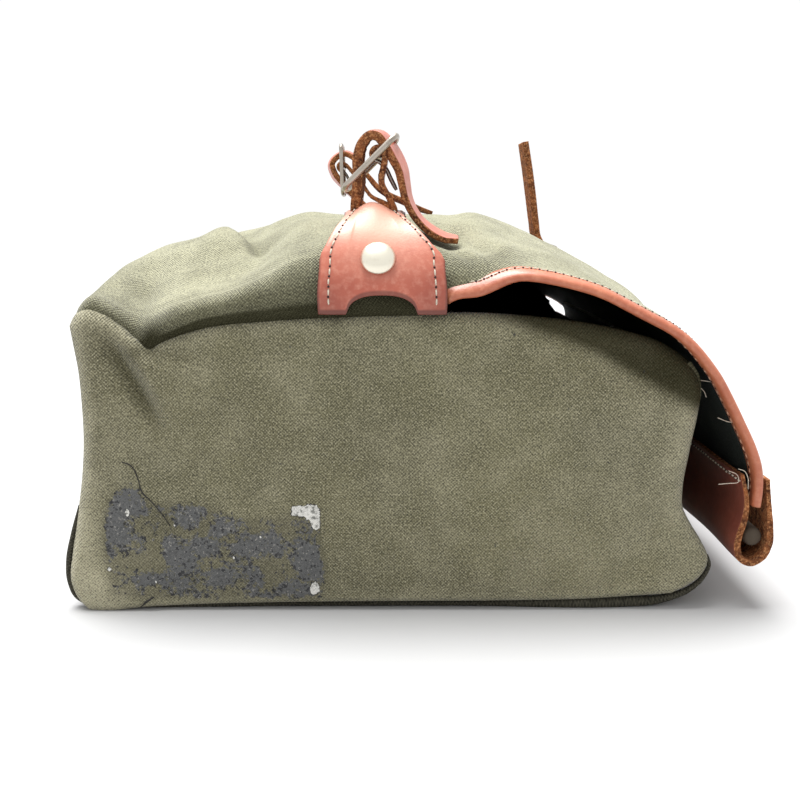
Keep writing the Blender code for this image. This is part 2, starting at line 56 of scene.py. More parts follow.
NEAR_END_AT, CAMERA_AWAY, CAMERA_DIP = -0.165, 0.378, 0.178
END_THICK, WALL_THICK, TOP_THICK, LINING_THICK = 2.0, 1.9, 1.5, 0.6
PATCH_THICK, LASH_THICK, CLOSURE_THICK, CHAPE_THICK = 2.1, 3.7, 3.1, 1.9
LASH_FROM, LASH_TO = 22.0, 40.0
PRONG_RADIUS = 0.9
ENDS = ((-1, "near"), (1, "far"))

# ---------------------------------------------------------------- curves and tables


def hermite(knots, values, at):
    """Smooth interpolation of values (one row per knot) at the given positions."""
    x = np.asarray(knots, float)
    y = np.asarray(values, float).reshape(len(x), -1)
    at = np.clip(np.asarray(at, float), x[0], x[-1])
    h = np.diff(x)
    slope = np.diff(y, axis=0) / h[:, None]
    m = np.empty_like(y)
    m[0], m[-1] = slope[0], slope[-1]
    m[1:-1] = (slope[:-1] * h[1:, None] + slope[1:] * h[:-1, None]) / (h[1:] + h[:-1])[:, None]
    i = np.clip(np.searchsorted(x, at, side="right") - 1, 0, len(h) - 1)
    t = ((at - x[i]) / h[i])[:, None]
    hi = h[i][:, None]
    a, b = y[i], y[i + 1]
    return ((2 * t**3 - 3 * t**2 + 1) * a + (t**3 - 2 * t**2 + t) * hi * m[i]
            + (-2 * t**3 + 3 * t**2) * b + (t**3 - t**2) * hi * m[i + 1])


def chord(points):
    p = np.asarray(points, float)
    return np.concatenate([[0], np.cumsum(np.linalg.norm(np.diff(p, axis=0), axis=1))])


def along(points, count):
    """count points at even spacing on a smooth curve through points."""
    knots = chord(points)
    fine = hermite(knots, points, np.linspace(0, knots[-1], 40 * len(points)))
    length = chord(fine)
    return hermite(length, fine, np.linspace(0, length[-1], count))


def ramp(x, low, high):
    t = np.clip((np.asarray(x, float) - low) / (high - low), 0, 1)
    return t * t * (3 - 2 * t)


def bump_at(x, centre, width):
    return np.exp(-(((np.asarray(x, float) - centre) / width) ** 2))


def hill(x, z, centre, size):
    """1 at the centre, falling off smoothly over size along each of the two directions."""
    return np.exp(-((x - centre[0]) / size[0]) ** 2 - ((z - centre[1]) / size[1]) ** 2)


def unit(rows, least=0.0):
    return rows / np.maximum(np.linalg.norm(rows, axis=-1, keepdims=True), least)


def ripples(points, scale, seed, count=9):
    """A smooth wandering value of about -1 to 1 at each point."""
    pick = np.random.default_rng(seed)
    p = np.asarray(points, float).reshape(-1, 3)
    total = np.zeros(len(p))
    for _ in range(count):
        wave = pick.normal(size=3)
        wave *= 2 * math.pi / (scale * pick.uniform(0.7, 1.7)) / np.linalg.norm(wave)
        total += np.sin(p @ wave + pick.uniform(0, 6.28))
    return (total / math.sqrt(count) / 1.2).reshape(np.asarray(points).shape[:-1])


def rough(points, scale, seed):
    """Finer, less regular noise than ripples."""
    p = np.asarray(points, float).reshape(-1, 3) / scale + seed * 17.3
    found = [noise.fractal(Vector(q), 1.0, 2.0, 3) for q in p]
    return np.array(found).reshape(np.asarray(points).shape[:-1])


# ---------------------------------------------------------------- materials

def node_tools(material):
    tree = material.node_tree

    def add(kind, **settings):
        made = tree.nodes.new(kind)
        for key, value in settings.items():
            setattr(made, key, value)
        return made

    def link(source, target):
        tree.links.new(source, target)

    def calc(operation, a, b=None, clamp=False):
        made = tree.nodes.new("ShaderNodeMath")
        made.operation = operation
        made.use_clamp = clamp
        for socket, value in zip(made.inputs, (a, b)):
            if value is None:
                continue
            if isinstance(value, (int, float)):
                socket.default_value = value
            else:
                tree.links.new(value, socket)
        return made.outputs[0]

    def mix(fac, a, b):
        made = tree.nodes.new("ShaderNodeMix")
        made.data_type = "RGBA"
        for socket, value in ((made.inputs[0], fac), (made.inputs[6], a), (made.inputs[7], b)):
            if isinstance(value, (int, float)):
                socket.default_value = value
            elif isinstance(value, tuple):
                socket.default_value = (*value, 1)
            else:
                tree.links.new(value, socket)
        return made.outputs[2]

    def noise_at(scale, detail=3.0, roughness=0.55, source=None):
        made = tree.nodes.new("ShaderNodeTexNoise")
        made.inputs["Scale"].default_value = scale
        made.inputs["Detail"].default_value = detail
        made.inputs["Roughness"].default_value = roughness
        if source is not None:
            tree.links.new(source, made.inputs["Vector"])
        return made.outputs[0]

    def spread(value, low, high):
        made = tree.nodes.new("ShaderNodeMapRange")
        made.clamp = True
        made.inputs[1].default_value = low
        made.inputs[2].default_value = high
        tree.links.new(value, made.inputs[0])
        return made.outputs[0]

    return tree, add, link, calc, mix, noise_at, spread


def blank(name):
    material = bpy.data.materials.new(name)
    material.use_nodes = True
    return material, material.node_tree.nodes["Principled BSDF"]


def bump(tree, shader, height, strength, distance):
    made = tree.nodes.new("ShaderNodeBump")
    made.inputs["Strength"].default_value = strength
    made.inputs["Distance"].default_value = distance
    tree.links.new(height, made.inputs["Height"])
    tree.links.new(made.outputs[0], shader.inputs["Normal"])


def canvas_material(name, dark, mid, pale, yarn=0.66, sheen=0.25, worn=False):
    """Plain-woven canvas. UVs are in centimetres. Its point values lighten it with fade and painted highlight, and
    darken it with painted shade in creases, seams and cast shadows and along dark edges.
    """
    material, shader = blank(name)
    tree, add, link, calc, mix, noise_at, spread = node_tools(material)
    uv = add("ShaderNodeUVMap")
    place = add("ShaderNodeTexCoord")
    split = add("ShaderNodeSeparateXYZ")
    wander = noise_at(2.2, 2.0, source=uv.outputs[0])
    link(uv.outputs[0], split.inputs[0])
    turn = 10 * math.pi / yarn
    shift = calc("MULTIPLY", wander, 2.4)
    across = calc("SINE", calc("ADD", calc("MULTIPLY", split.outputs[0], turn), shift))
    down = calc("SINE", calc("ADD", calc("MULTIPLY", split.outputs[1], turn), shift))
    weave = calc("MULTIPLY", across, down)
    thread = noise_at(12.0, 2.0, 0.7, source=uv.outputs[0])
    slub = noise_at(3.2, 3.0, 0.7, source=uv.outputs[0])
    height = calc("ADD", calc("MULTIPLY", weave, 0.5), calc("MULTIPLY", thread, 1.3))
    cloud = noise_at(16.0, 4.0, 0.6, place.outputs["Object"])
    patchy = noise_at(70.0, 3.0, 0.6, place.outputs["Object"])
    fleck = noise_at(1500.0, 1.0, 0.5, place.outputs["Object"])
    fade_and_highlight = add("ShaderNodeAttribute", attribute_name="fade_and_highlight")
    shade_and_dark_edges = add("ShaderNodeAttribute", attribute_name="shade_and_dark_edges")
    base = mix(spread(cloud, 0.35, 0.68), dark, mid)
    base = mix(calc("MULTIPLY", spread(patchy, 0.42, 0.75), 0.35), base, pale)
    # sun fade and painted highlight: paler where the surface faces the top light
    base = mix(calc("MULTIPLY", fade_and_highlight.outputs["Fac"], calc("ADD", spread(patchy, 0.2, 0.7), 0.35), True),
               base, pale)
    # painted highlight on the yarn tops and painted shade between them
    lit = calc("ADD", calc("MULTIPLY", weave, 0.55), calc("MULTIPLY", calc("SUBTRACT", thread, 0.5), 4.6))
    base = mix(calc("MULTIPLY", spread(lit, 0.0, 1.3), 0.85), base, tuple(min(1.0, c * 1.25) for c in pale))
    base = mix(calc("MULTIPLY", spread(lit, 0.0, -1.2), 0.90), base, tuple(c * 0.30 for c in dark))
    base = mix(calc("MULTIPLY", spread(slub, 0.50, 0.30), 0.25), base, tuple(c * 0.55 for c in dark))
    base = mix(calc("MULTIPLY", spread(fleck, 0.68, 0.80), 0.40), base,
               tuple(min(1.0, c * 1.7) for c in pale))
    # painted shade: creases, seams and cast shadows darkened towards a deep tone of the canvas
    base = mix(calc("MULTIPLY", shade_and_dark_edges.outputs["Fac"], 0.85), base, tuple(c * 0.22 for c in dark))
    top_height = height
    if worn:
        stain = add("ShaderNodeAttribute", attribute_name="residue")
        torn = add("ShaderNodeAttribute", attribute_name="torn")
        grit = noise_at(210.0, 4.0, 0.7, place.outputs["Object"])
        grit2 = noise_at(620.0, 2.0, 0.6, place.outputs["Object"])
        film = noise_at(90.0, 5.0, 0.75, place.outputs["Object"])
        edge = calc("ADD", stain.outputs["Fac"], calc("MULTIPLY", calc("SUBTRACT", film, 0.5), 1.9))
        edge = calc("ADD", edge, calc("MULTIPLY", calc("SUBTRACT", grit2, 0.5), 0.9))
        cover = calc("MULTIPLY", spread(edge, 0.42, 0.56), 0.92)
        smear = mix(spread(grit2, 0.32, 0.72), (0.060, 0.062, 0.066), (0.134, 0.137, 0.140))
        specks = calc("MULTIPLY", spread(grit2, 0.57, 0.64), spread(edge, 0.36, 0.50))
        base = mix(calc("MULTIPLY", spread(stain.outputs["Fac"], 0.02, 0.35), 0.38), base,
                   (0.075, 0.068, 0.042))
        base = mix(cover, base, smear)
        rim = calc("MULTIPLY", spread(edge, 0.36, 0.43), spread(edge, 0.62, 0.54))
        dash = calc("MULTIPLY", spread(noise_at(500.0, 2.0, 0.6, place.outputs["Object"]), 0.56, 0.63), rim)
        base = mix(calc("MULTIPLY", dash, 0.9), base, (0.012, 0.012, 0.013))
        base = mix(calc("MULTIPLY", specks, 0.85), base, (0.012, 0.012, 0.014))
        lint = noise_at(900.0, 2.0, 0.7, place.outputs["Object"])
        base = mix(calc("MULTIPLY", spread(lint, 0.60, 0.68), cover), base, (0.26, 0.25, 0.23))
        ragged = calc("MULTIPLY", calc("SUBTRACT", grit, 0.5), 1.2)
        ragged = calc("ADD", ragged, calc("MULTIPLY", calc("SUBTRACT", grit2, 0.5), 1.2))
        hole_edge = calc("ADD", torn.outputs["Fac"],
                         calc("MULTIPLY", ragged, spread(torn.outputs["Fac"], 0.0, 0.2)))
        base = mix(spread(hole_edge, 0.30, 0.42), base, (0.012, 0.012, 0.012))
        paper = mix(spread(grit2, 0.36, 0.50), (0.22, 0.22, 0.20), (0.66, 0.65, 0.61))
        base = mix(spread(hole_edge, 0.47, 0.52), base, paper)
        top_height = calc("ADD", calc("MULTIPLY", height,
                                      calc("SUBTRACT", 1.0, calc("MULTIPLY", cover, 0.65))),
                          calc("MULTIPLY", edge, calc("MULTIPLY", cover, 1.3)))
    link(base, shader.inputs["Base Color"])
    shader.inputs["Roughness"].default_value = 0.82
    # less specular and sheen where shade is painted, so the painted shade stays dark
    unshaded_share = calc("SUBTRACT", 1.0, calc("MINIMUM", shade_and_dark_edges.outputs["Fac"], 1.0))
    link(calc("MULTIPLY", unshaded_share, 0.3), shader.inputs["Specular IOR Level"])
    link(calc("MULTIPLY", unshaded_share, sheen), shader.inputs["Sheen Weight"])
    shader.inputs["Sheen Roughness"].default_value = 0.5
    bump(tree, shader, top_height, 1.0, 0.00042)
    return material


def leather_material(name, dark, mid, pale, roughness=0.42, coat=0.15):
    """Smooth finished leather with fine grain. Its point values darken its edges and lower parts, partly as painted
    shade, and lighten its top as painted highlight.
    """
    material, shader = blank(name)
    tree, add, link, calc, mix, noise_at, spread = node_tools(material)
    place = add("ShaderNodeTexCoord")
    cloud = noise_at(42.0, 4.0, 0.6, place.outputs["Object"])
    fine = noise_at(420.0, 3.0, 0.6, place.outputs["Object"])
    shade_and_dark_edges = add("ShaderNodeAttribute", attribute_name="shade_and_dark_edges")
    fade_and_highlight = add("ShaderNodeAttribute", attribute_name="fade_and_highlight")
    cells = add("ShaderNodeTexVoronoi")
    cells.inputs["Scale"].default_value = 1500.0
    link(place.outputs["Object"], cells.inputs["Vector"])
    base = mix(spread(cloud, 0.32, 0.70), dark, mid)
    base = mix(calc("MULTIPLY", spread(fine, 0.45, 0.75), 0.35), base, pale)
    # painted highlight where the leather faces the top light
    base = mix(fade_and_highlight.outputs["Fac"], base, pale)
    # painted shade along rolled edges and lower parts, with darker edges
    base = mix(calc("MULTIPLY", shade_and_dark_edges.outputs["Fac"], 0.9), base, tuple(c * 0.30 for c in dark))
    link(base, shader.inputs["Base Color"])
    shader.inputs["Roughness"].default_value = roughness
    shader.inputs["Coat Weight"].default_value = coat
    shader.inputs["Coat Roughness"].default_value = 0.3
    height = calc("ADD", calc("MULTIPLY", cells.outputs["Distance"], 0.5), fine)
    bump(tree, shader, height, 0.35, 0.00022)
    return material


def raw_material(name, dark, mid, pale):
    """Cut and fleshy sides of leather: matt, fibrous and uneven."""
    material, shader = blank(name)
    tree, add, link, calc, mix, noise_at, spread = node_tools(material)
    place = add("ShaderNodeTexCoord")
    lumps = noise_at(330.0, 4.0, 0.65, place.outputs["Object"])
    fibre = noise_at(1100.0, 3.0, 0.7, place.outputs["Object"])
    base = mix(spread(lumps, 0.36, 0.64), dark, mid)
    base = mix(calc("MULTIPLY", spread(fibre, 0.48, 0.72), 0.6), base, pale)
    link(base, shader.inputs["Base Color"])
    shader.inputs["Roughness"].default_value = 0.9
    shader.inputs["Specular IOR Level"].default_value = 0.2
    bump(tree, shader, calc("ADD", calc("MULTIPLY", fibre, 0.6), lumps), 1.0, 0.0009)
    return material


def metal_material(name, color, dull, roughness):
    material, shader = blank(name)
    tree, add, link, calc, mix, noise_at, spread = node_tools(material)
    place = add("ShaderNodeTexCoord")
    cloud = noise_at(160.0, 4.0, 0.6, place.outputs["Object"])
    fine = noise_at(1400.0, 2.0, 0.6, place.outputs["Object"])
    link(mix(spread(cloud, 0.5, 0.75), color, dull), shader.inputs["Base Color"])
    shader.inputs["Metallic"].default_value = 0.92
    shader.inputs["Roughness"].default_value = roughness
    bump(tree, shader, fine, 0.12, 0.0001)
    return material


def thread_material(name, color, twist_scale=2600.0):
    material, shader = blank(name)
    tree, add, link, calc, mix, noise_at, spread = node_tools(material)
    place = add("ShaderNodeTexCoord")
    ply = noise_at(twist_scale, 2.0, 0.6, place.outputs["Object"])
    link(mix(spread(ply, 0.35, 0.65), tuple(c * 0.6 for c in color), color), shader.inputs["Base Color"])
    shader.inputs["Roughness"].default_value = 0.75
    bump(tree, shader, ply, 0.6, 0.0002)
    return material


def board_material(name, color):
    material, shader = blank(name)
    tree, add, link, calc, mix, noise_at, spread = node_tools(material)
    place = add("ShaderNodeTexCoord")
    pulp = noise_at(500.0, 4.0, 0.7, place.outputs["Object"])
    link(mix(spread(pulp, 0.3, 0.7), tuple(c * 0.7 for c in color), color), shader.inputs["Base Color"])
    shader.inputs["Roughness"].default_value = 0.88
    bump(tree, shader, pulp, 0.5, 0.0003)
    return material


CANVAS = canvas_material("canvas_body", (0.100, 0.095, 0.053), (0.160, 0.153, 0.083), (0.350, 0.340, 0.218))
CANVAS_WORN = canvas_material("canvas_end", (0.112, 0.104, 0.055), (0.176, 0.163, 0.086),
                              (0.400, 0.372, 0.250),
                              worn=True)
# canvas darkened as painted shade for the welts in the bottom seams
WELT_SHADED = canvas_material("canvas_welt_shaded", (0.024, 0.022, 0.014), (0.044, 0.041, 0.027), (0.085, 0.078, 0.056),
                       sheen=0.0)
# canvas darkened as painted shade for the hem roll inside the band's loop
CANVAS_HEM_SHADED = canvas_material("canvas_hem_shaded", (0.026, 0.019, 0.013), (0.046, 0.034, 0.024),
                              (0.09, 0.07, 0.05),
                              sheen=0.0)
# dark green lining, darkened further as painted shade for the bag's inside and the flap's underside
LINING_SHADED = canvas_material("lining_green_shaded", (0.010, 0.013, 0.012), (0.019, 0.025, 0.021), (0.04, 0.05, 0.04),
                         yarn=0.6, sheen=0.0)
LEATHER = leather_material("leather_red", (0.330, 0.060, 0.032), (0.490, 0.118, 0.066),
                           (0.720, 0.350, 0.250),
                           0.46, 0.22)
LEATHER_EDGE = leather_material("leather_binding", (0.34, 0.085, 0.038), (0.47, 0.145, 0.070),
                                (0.66, 0.29, 0.17), 0.42, 0.25)
LEATHER_DEEP = leather_material("leather_band", (0.165, 0.038, 0.026), (0.26, 0.068, 0.042),
                                (0.40, 0.13, 0.085))
LEATHER_CUT = leather_material("leather_cut", (0.060, 0.014, 0.009), (0.110, 0.028, 0.018),
                               (0.200, 0.065, 0.042),
                               0.6, 0.0)
RAW = raw_material("leather_raw", (0.060, 0.017, 0.007), (0.280, 0.095, 0.032), (0.80, 0.40, 0.17))
NICKEL = metal_material("nickel", (0.80, 0.76, 0.64), (0.66, 0.61, 0.50), 0.30)
# darker copy of the nickel for buckle frames and prongs: painted shade for their dimmer reflections
NICKEL_SHADED = metal_material("nickel_shaded", (0.40, 0.36, 0.31), (0.20, 0.17, 0.14), 0.34)
THREAD = thread_material("thread_offwhite", (0.72, 0.64, 0.52))
THREAD_TAN = thread_material("thread_tan", (0.74, 0.46, 0.30))
THREAD_DARK = thread_material("thread_dark", (0.022, 0.020, 0.018))
# near-black marks: painted shade in the needle holes
HOLE = thread_material("needle_hole", (0.030, 0.010, 0.008))
BOARD = board_material("fibre_board", (0.20, 0.16, 0.11))

# ---------------------------------------------------------------- meshes


def put(name, points, faces, looks, body, replaced=(), uv=None, values=None, pick=None, flat=None,
        tidy_normals=False):
    """A mesh object from points in millimetres. It rides on a body, or keeps its baked world placement and no body if
    body is None.
    """
    mesh = bpy.data.meshes.new(name)
    mesh.from_pydata((np.asarray(points, float).reshape(-1, 3) * MM).tolist(), [], faces)
    looks = looks if isinstance(looks, (list, tuple)) else [looks]
    for look in looks:
        mesh.materials.append(look)
    if pick is not None:
        mesh.polygons.foreach_set("material_index", np.asarray(pick, np.int32))
    if uv is not None:
        layer = mesh.uv_layers.new(name="UVMap")
        loops = np.empty(len(mesh.loops), np.int32)
        mesh.loops.foreach_get("vertex_index", loops)
        layer.data.foreach_set("uv", np.asarray(uv, np.float32).reshape(-1, 2)[loops].ravel())
    for key, value in (values or {}).items():
        kept = mesh.attributes.new(key, "FLOAT", "POINT")
        kept.data.foreach_set("value", np.asarray(value, np.float32).ravel())
    mesh.validate()
    mesh.shade_smooth()
    if flat is not None:
        mesh.polygons.foreach_set("use_smooth", np.asarray(flat) == 0)
    if tidy_normals:
        made = bmesh.new()
        made.from_mesh(mesh)
        bmesh.ops.recalc_face_normals(made, faces=made.faces)
        made.to_mesh(mesh)
        made.free()
    obj = bpy.data.objects.new(name, mesh)
    bpy.context.scene.collection.objects.link(obj)
    if body is None:
        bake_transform(obj)
    else:
        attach(obj, body)
    if replaced:
        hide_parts(*replaced)
    return obj


def quads(rows, columns, wrap=False, flip=False):
    """Faces of a grid whose points run along columns first."""
    i, j = np.meshgrid(np.arange(rows - 1), np.arange(columns if wrap else columns - 1), indexing="ij")
    k = (j + 1) % columns
    found = np.stack([i * columns + j, (i + 1) * columns + j, (i + 1) * columns + k, i * columns + k], -1)
    found = found.reshape(-1, 4)
    return (found[:, ::-1] if flip else found).tolist()


def normals_of(grid):
    return unit(np.cross(np.gradient(grid, axis=0), np.gradient(grid, axis=1)), 1e-9)


def flat_uv(grid):
    """UVs in centimetres that follow the cloth along both directions."""
    u = np.concatenate([np.zeros((1, grid.shape[1])),
                        np.cumsum(np.linalg.norm(np.diff(grid, axis=0), axis=2), axis=0)])
    v = np.concatenate([np.zeros((grid.shape[0], 1)),
                        np.cumsum(np.linalg.norm(np.diff(grid, axis=1), axis=2), axis=1)], axis=1)
    u = u - u[u.shape[0] // 2][None] + u[u.shape[0] // 2].mean()
    return np.stack([u, v], -1) / 10


def shell(name, grid, thickness, looks, body, replaced=(), values=None, flip=False, uv=None):
    """A closed sheet: grid is its outer face, and its inner face lies thickness below."""
    rows, columns = grid.shape[:2]
    n = normals_of(grid) * (-1 if flip else 1)
    inner = grid - n * thickness
    count = rows * columns
    uv = flat_uv(grid) if uv is None else uv
    faces = quads(rows, columns, flip=flip)
    pick = [0] * len(faces)
    back = (np.asarray(quads(rows, columns, flip=not flip)) + count).tolist()
    faces += back
    looks = looks if isinstance(looks, (list, tuple)) else [looks]
    inside = min(1, len(looks) - 1)
    pick += [inside] * len(back)
    rim = ([(i, 0) for i in range(rows)] + [(rows - 1, j) for j in range(1, columns)]
           + [(i, columns - 1) for i in range(rows - 2, -1, -1)] + [(0, j) for j in range(columns - 2, 0,
                                                                                          -1)])
    ring = [i * columns + j for i, j in rim]
    for a, b in zip(ring, ring[1:] + ring[:1]):
        faces.append([b, a, a + count, b + count] if not flip else [a, b, b + count, a + count])
        pick.append(len(looks) - 1 if len(looks) > 2 else 0)
    flat = [0] * (len(faces) - len(ring)) + [1] * len(ring)
    doubled = {k: np.concatenate([np.ravel(v), np.ravel(v) * 0.5]) for k, v in (values or {}).items()}
    points = np.concatenate([grid.reshape(-1, 3), inner.reshape(-1, 3)])
    return put(name, points, faces, looks, body, replaced,
               uv=np.concatenate([uv.reshape(-1, 2)] * 2), values=doubled, pick=pick, flat=flat)


def sweep(name, centres, sections, looks, body, replaced=(), pick=None, closed=False):
    """A closed ring of section points at each centre, in world directions. sections is (centres, ring points, 3)."""
    points = centres[:, None, :] + sections
    rows, columns = points.shape[:2]
    faces = quads(rows, columns, wrap=True)
    chosen = [] if pick is None else list(np.tile(pick, rows - 1))
    if closed:
        last = (rows - 1) * columns
        faces += [[last + j, j, (j + 1) % columns, last + (j + 1) % columns] for j in range(columns)]
        if pick is not None:
            chosen += list(pick)
    else:
        faces += [list(range(columns)), [(rows - 1) * columns + j for j in range(columns)][::-1]]
        if pick is not None:
            chosen += [max(pick)] * 2
    uv = np.zeros((rows, columns, 2))
    uv[..., 0] = chord(centres)[:, None] / 10
    around = np.linalg.norm(np.diff(np.concatenate([points[0], points[0][:1]]), axis=0), axis=1)
    uv[..., 1] = np.concatenate([[0], np.cumsum(around)[:-1]])[None] / 10
    return put(name, points, faces, looks, body, replaced, uv=uv,
               pick=None if pick is None else chosen, tidy_normals=True)


def frames(path, up=(0.0, 1.0, 0.0)):
    """Unit tangents and two cross directions along a path; the second is nearest to up."""
    tangent = unit(np.gradient(path, axis=0))
    up = np.broadcast_to(np.asarray(up, float), path.shape)
    side = unit(up - (up * tangent).sum(1)[:, None] * tangent)
    return tangent, np.cross(side, tangent), side


def tube(name, points, radius, look, body, replaced=(), sides=10, closed=False, spacing=0.7,
         up=(0, 1, 0)):
    """A round wire, cord or thread. radius is one number or one for each of the given points."""
    pts = np.asarray(points, float)
    if closed:
        pts = np.concatenate([pts, pts[:1]])
    length = chord(pts)[-1]
    count = max(8, int(length / spacing))
    path = along(pts, count)
    radii = np.broadcast_to(np.asarray(radius, float),
                            (len(pts),)) if np.ndim(radius) == 0 else np.asarray(radius)
    radii = hermite(np.linspace(0, 1, len(radii)), radii, np.linspace(0, 1, count))[:, 0]
    if closed:
        path, radii = path[:-1], radii[:-1]
    _, a, b = frames(path, up)
    if closed:
        tangent = unit(np.roll(path, -1, axis=0) - np.roll(path, 1, axis=0))
        b = unit(np.cross(tangent, np.broadcast_to(np.asarray(up, float), path.shape)), 1e-6)
        a = np.cross(b, tangent)
    angle = np.arange(sides) * 2 * math.pi / sides
    ring = a[:, None] * np.cos(angle)[None, :, None] + b[:, None] * np.sin(angle)[None, :, None]
    return sweep(name, path, ring * radii[:, None, None], look, body, replaced, closed=closed)


def stitches(name, places, outward, heading, look, body, slot, length=2.5, radius=0.42, lift=0.10):
    """Separate short stitches that lie on a surface. outward is its normal and heading the seam's direction."""
    points, faces = [], []
    steps, sides = 6, 6
    for place, out, run in zip(places, outward, heading):
        side = np.cross(run, out)
        start = len(points)
        for i in range(steps):
            t = i / (steps - 1)
            arch = math.sin(math.pi * t)
            centre = place + run * (t - 0.5) * length + out * (lift + (arch - 0.7) * radius * 1.1)
            thick = radius * (0.55 + 0.45 * math.sqrt(arch))
            for j in range(sides):
                a = 2 * math.pi * j / sides
                points.append(centre + (side * math.cos(a) + out * math.sin(a)) * thick)
        for i in range(steps - 1):
            for j in range(sides):
                k = (j + 1) % sides
                faces.append([start + i * sides + j, start + i * sides + k,
                              start + (i + 1) * sides + k, start + (i + 1) * sides + j])
        faces.append([start + j for j in range(sides)][::-1])
        faces.append([start + (steps - 1) * sides + j for j in range(sides)])
    return put(name, np.array(points), faces, look, body)


def seam(name, line, normal, body, slot="leather", pitch=3.5, length=2.4, radius=0.42, look=None,
         holes=True,
         lift=0.10):
    """A row of stitches, and dark marks for the painted shade in the needle holes between them, along a line of points
    with a normal at each.
    """
    run = chord(line)
    count = int(run[-1] / pitch)
    at = (np.arange(count) + 0.5) * run[-1] / count

    def laid(where):
        heading = hermite(run, line, where + 0.2) - hermite(run, line, where - 0.2)
        return hermite(run, line, where), unit(hermite(run, normal, where)), unit(heading, 1e-6)

    place, out, head = laid(at)
    jitter = np.random.default_rng(len(name) * 7 + count).normal(size=(count, 3)) * 0.06
    stitches(name, place + jitter, out, head, look or THREAD, body, slot, length, radius, lift)
    if holes:
        stitches(name + "_holes", *laid(at[:-1] + run[-1] / count / 2), HOLE, body, slot, 1.15, 0.46,
                 lift - 0.22)


# ---------------------------------------------------------------- end panels

LEFT = [(-131.5, -0.6), (-135.6, 4.0), (-138.6, 12.0), (-138.0, 23.0), (-135.4, 39.0), (-133.2, 52.0),
        (-131.6, 68.0),
        (-131.6, 84.0), (-132.2, 96.0), (-133.6, 106.0), (-134.6, 113.2)]
TOP_NEAR = [(-134.6, 113.2), (-132.2, 117.6), (-127.6, 119.8), (-121.4, 118.0), (-114.4, 112.9),
            (-108.4, 107.6),
            (-104.4, 105.0), (-100.2, 107.4), (-94.7, 109.8), (-83.0, 113.4), (-60.0, 116.2),
            (-37.7, 117.4),
            (-13.0, 118.1), (11.5, 118.5), (34.0, 117.5), (53.0, 115.6), (70.0, 113.0), (83.6, 110.0),
            (94.0, 106.6), (101.0, 102.6)]
RIGHT_NEAR = [(101.0, 6.2), (107.8, 9.8), (113.4, 14.4), (115.6, 20.2), (112.6, 27.5), (108.4, 34.2),
              (105.0, 41.0),
              (104.4, 50.0), (106.2, 63.0), (108.9, 78.0), (110.2, 87.0), (109.0, 94.0), (105.6, 99.0),
              (101.0, 102.6)]
BOTTOM = [(-131.5, -0.6), (-126.0, -0.9), (-110.0, 0.6), (-90.0, 1.5), (-47.3, 2.5), (0.0, 2.9),
          (32.5, 3.1),
          (70.0, 4.0), (88.2, 5.2), (101.0, 6.2)]
TOP_FAR = TOP_NEAR[:14] + [(34.0, 118.0), (53.0, 116.0), (68.0, 113.4), (80.0, 110.2), (87.0, 107.6),
                           (91.0, 104.6),
                            (92.6, 99.6), (97.5, 95.6)]
RIGHT_FAR = RIGHT_NEAR[:9] + [(105.4, 78.0), (103.0, 88.0), (97.5, 95.6)]
RESIDUE = [(-120.9, 43.0), (-124.0, 28.7), (-122.3, 14.7), (-121.5, 7.6), (-111.6, 5.5), (-93.0, 4.7),
           (-65.5, 5.1),
           (-48.4, 5.5), (-37.6, 5.5), (-36.7, 14.7), (-39.3, 27.5), (-39.2, 35.3), (-41.0, 42.5),
           (-48.9, 42.0),
           (-54.8, 38.5), (-67.4, 37.3), (-77.1, 40.6), (-86.8, 43.0), (-98.9, 45.0), (-105.3, 41.8),
           (-109.6, 49.4), (-113.8, 51.9), (-120.4, 45.0)]
TORN = [((-46.8, 41.3), (3.3, 2.2)), ((-42.0, 40.9), (3.6, 3.0)), ((-40.4, 37.0), (2.0, 3.0)),
        ((-41.2, 9.3), (1.9, 2.7)), ((-114.3, 40.4), (0.8, 1.6)), ((-122.2, 17.6), (0.7, 0.8)),
        ((-96.0, 35.0), (0.4, 0.5)),
        ((-104.0, 12.0), (0.4, 0.5)), ((-73.0, 22.0), (0.5, 0.6)), ((-62.0, 30.5), (0.4, 0.4))]
SMEARS = [((-118, 34), (7.5, 16)), ((-112, 42), (8, 9)), ((-98, 26), (5, 11)), ((-84, 26), (9, 5)),
          ((-66, 14), (7, 8)),
          ((-62, 27), (20, 8)), ((-45, 22), (9, 15)), ((-91, 38), (9, 6)), ((-92, 22), (7, 9)),
          ((-76, 13), (15, 5)), ((-106, 13), (14, 5)),
          ((-77, 34), (8, 5)), ((-50, 10), (9, 5))]


def distance_inside(points, polygon):
    """Distance from each (x, z) to the polygon's outline, positive inside."""
    poly = np.asarray(polygon, float)
    a, b = poly, np.roll(poly, -1, axis=0)
    best = np.full(len(points), 1e9)
    inside = np.zeros(len(points), bool)
    for p, q in zip(a, b):
        d = q - p
        t = np.clip(((points - p) @ d) / max(d @ d, 1e-9), 0, 1)
        best = np.minimum(best, np.linalg.norm(points - p - t[:, None] * d, axis=1))
        crosses = (p[1] > points[:, 1]) != (q[1] > points[:, 1])
        with np.errstate(divide="ignore", invalid="ignore"):
            at = (q[0] - p[0]) * (points[:, 1] - p[1]) / (q[1] - p[1] + 1e-12) + p[0]
        inside ^= crosses & (points[:, 0] < at)
    return np.where(inside, best, -best)


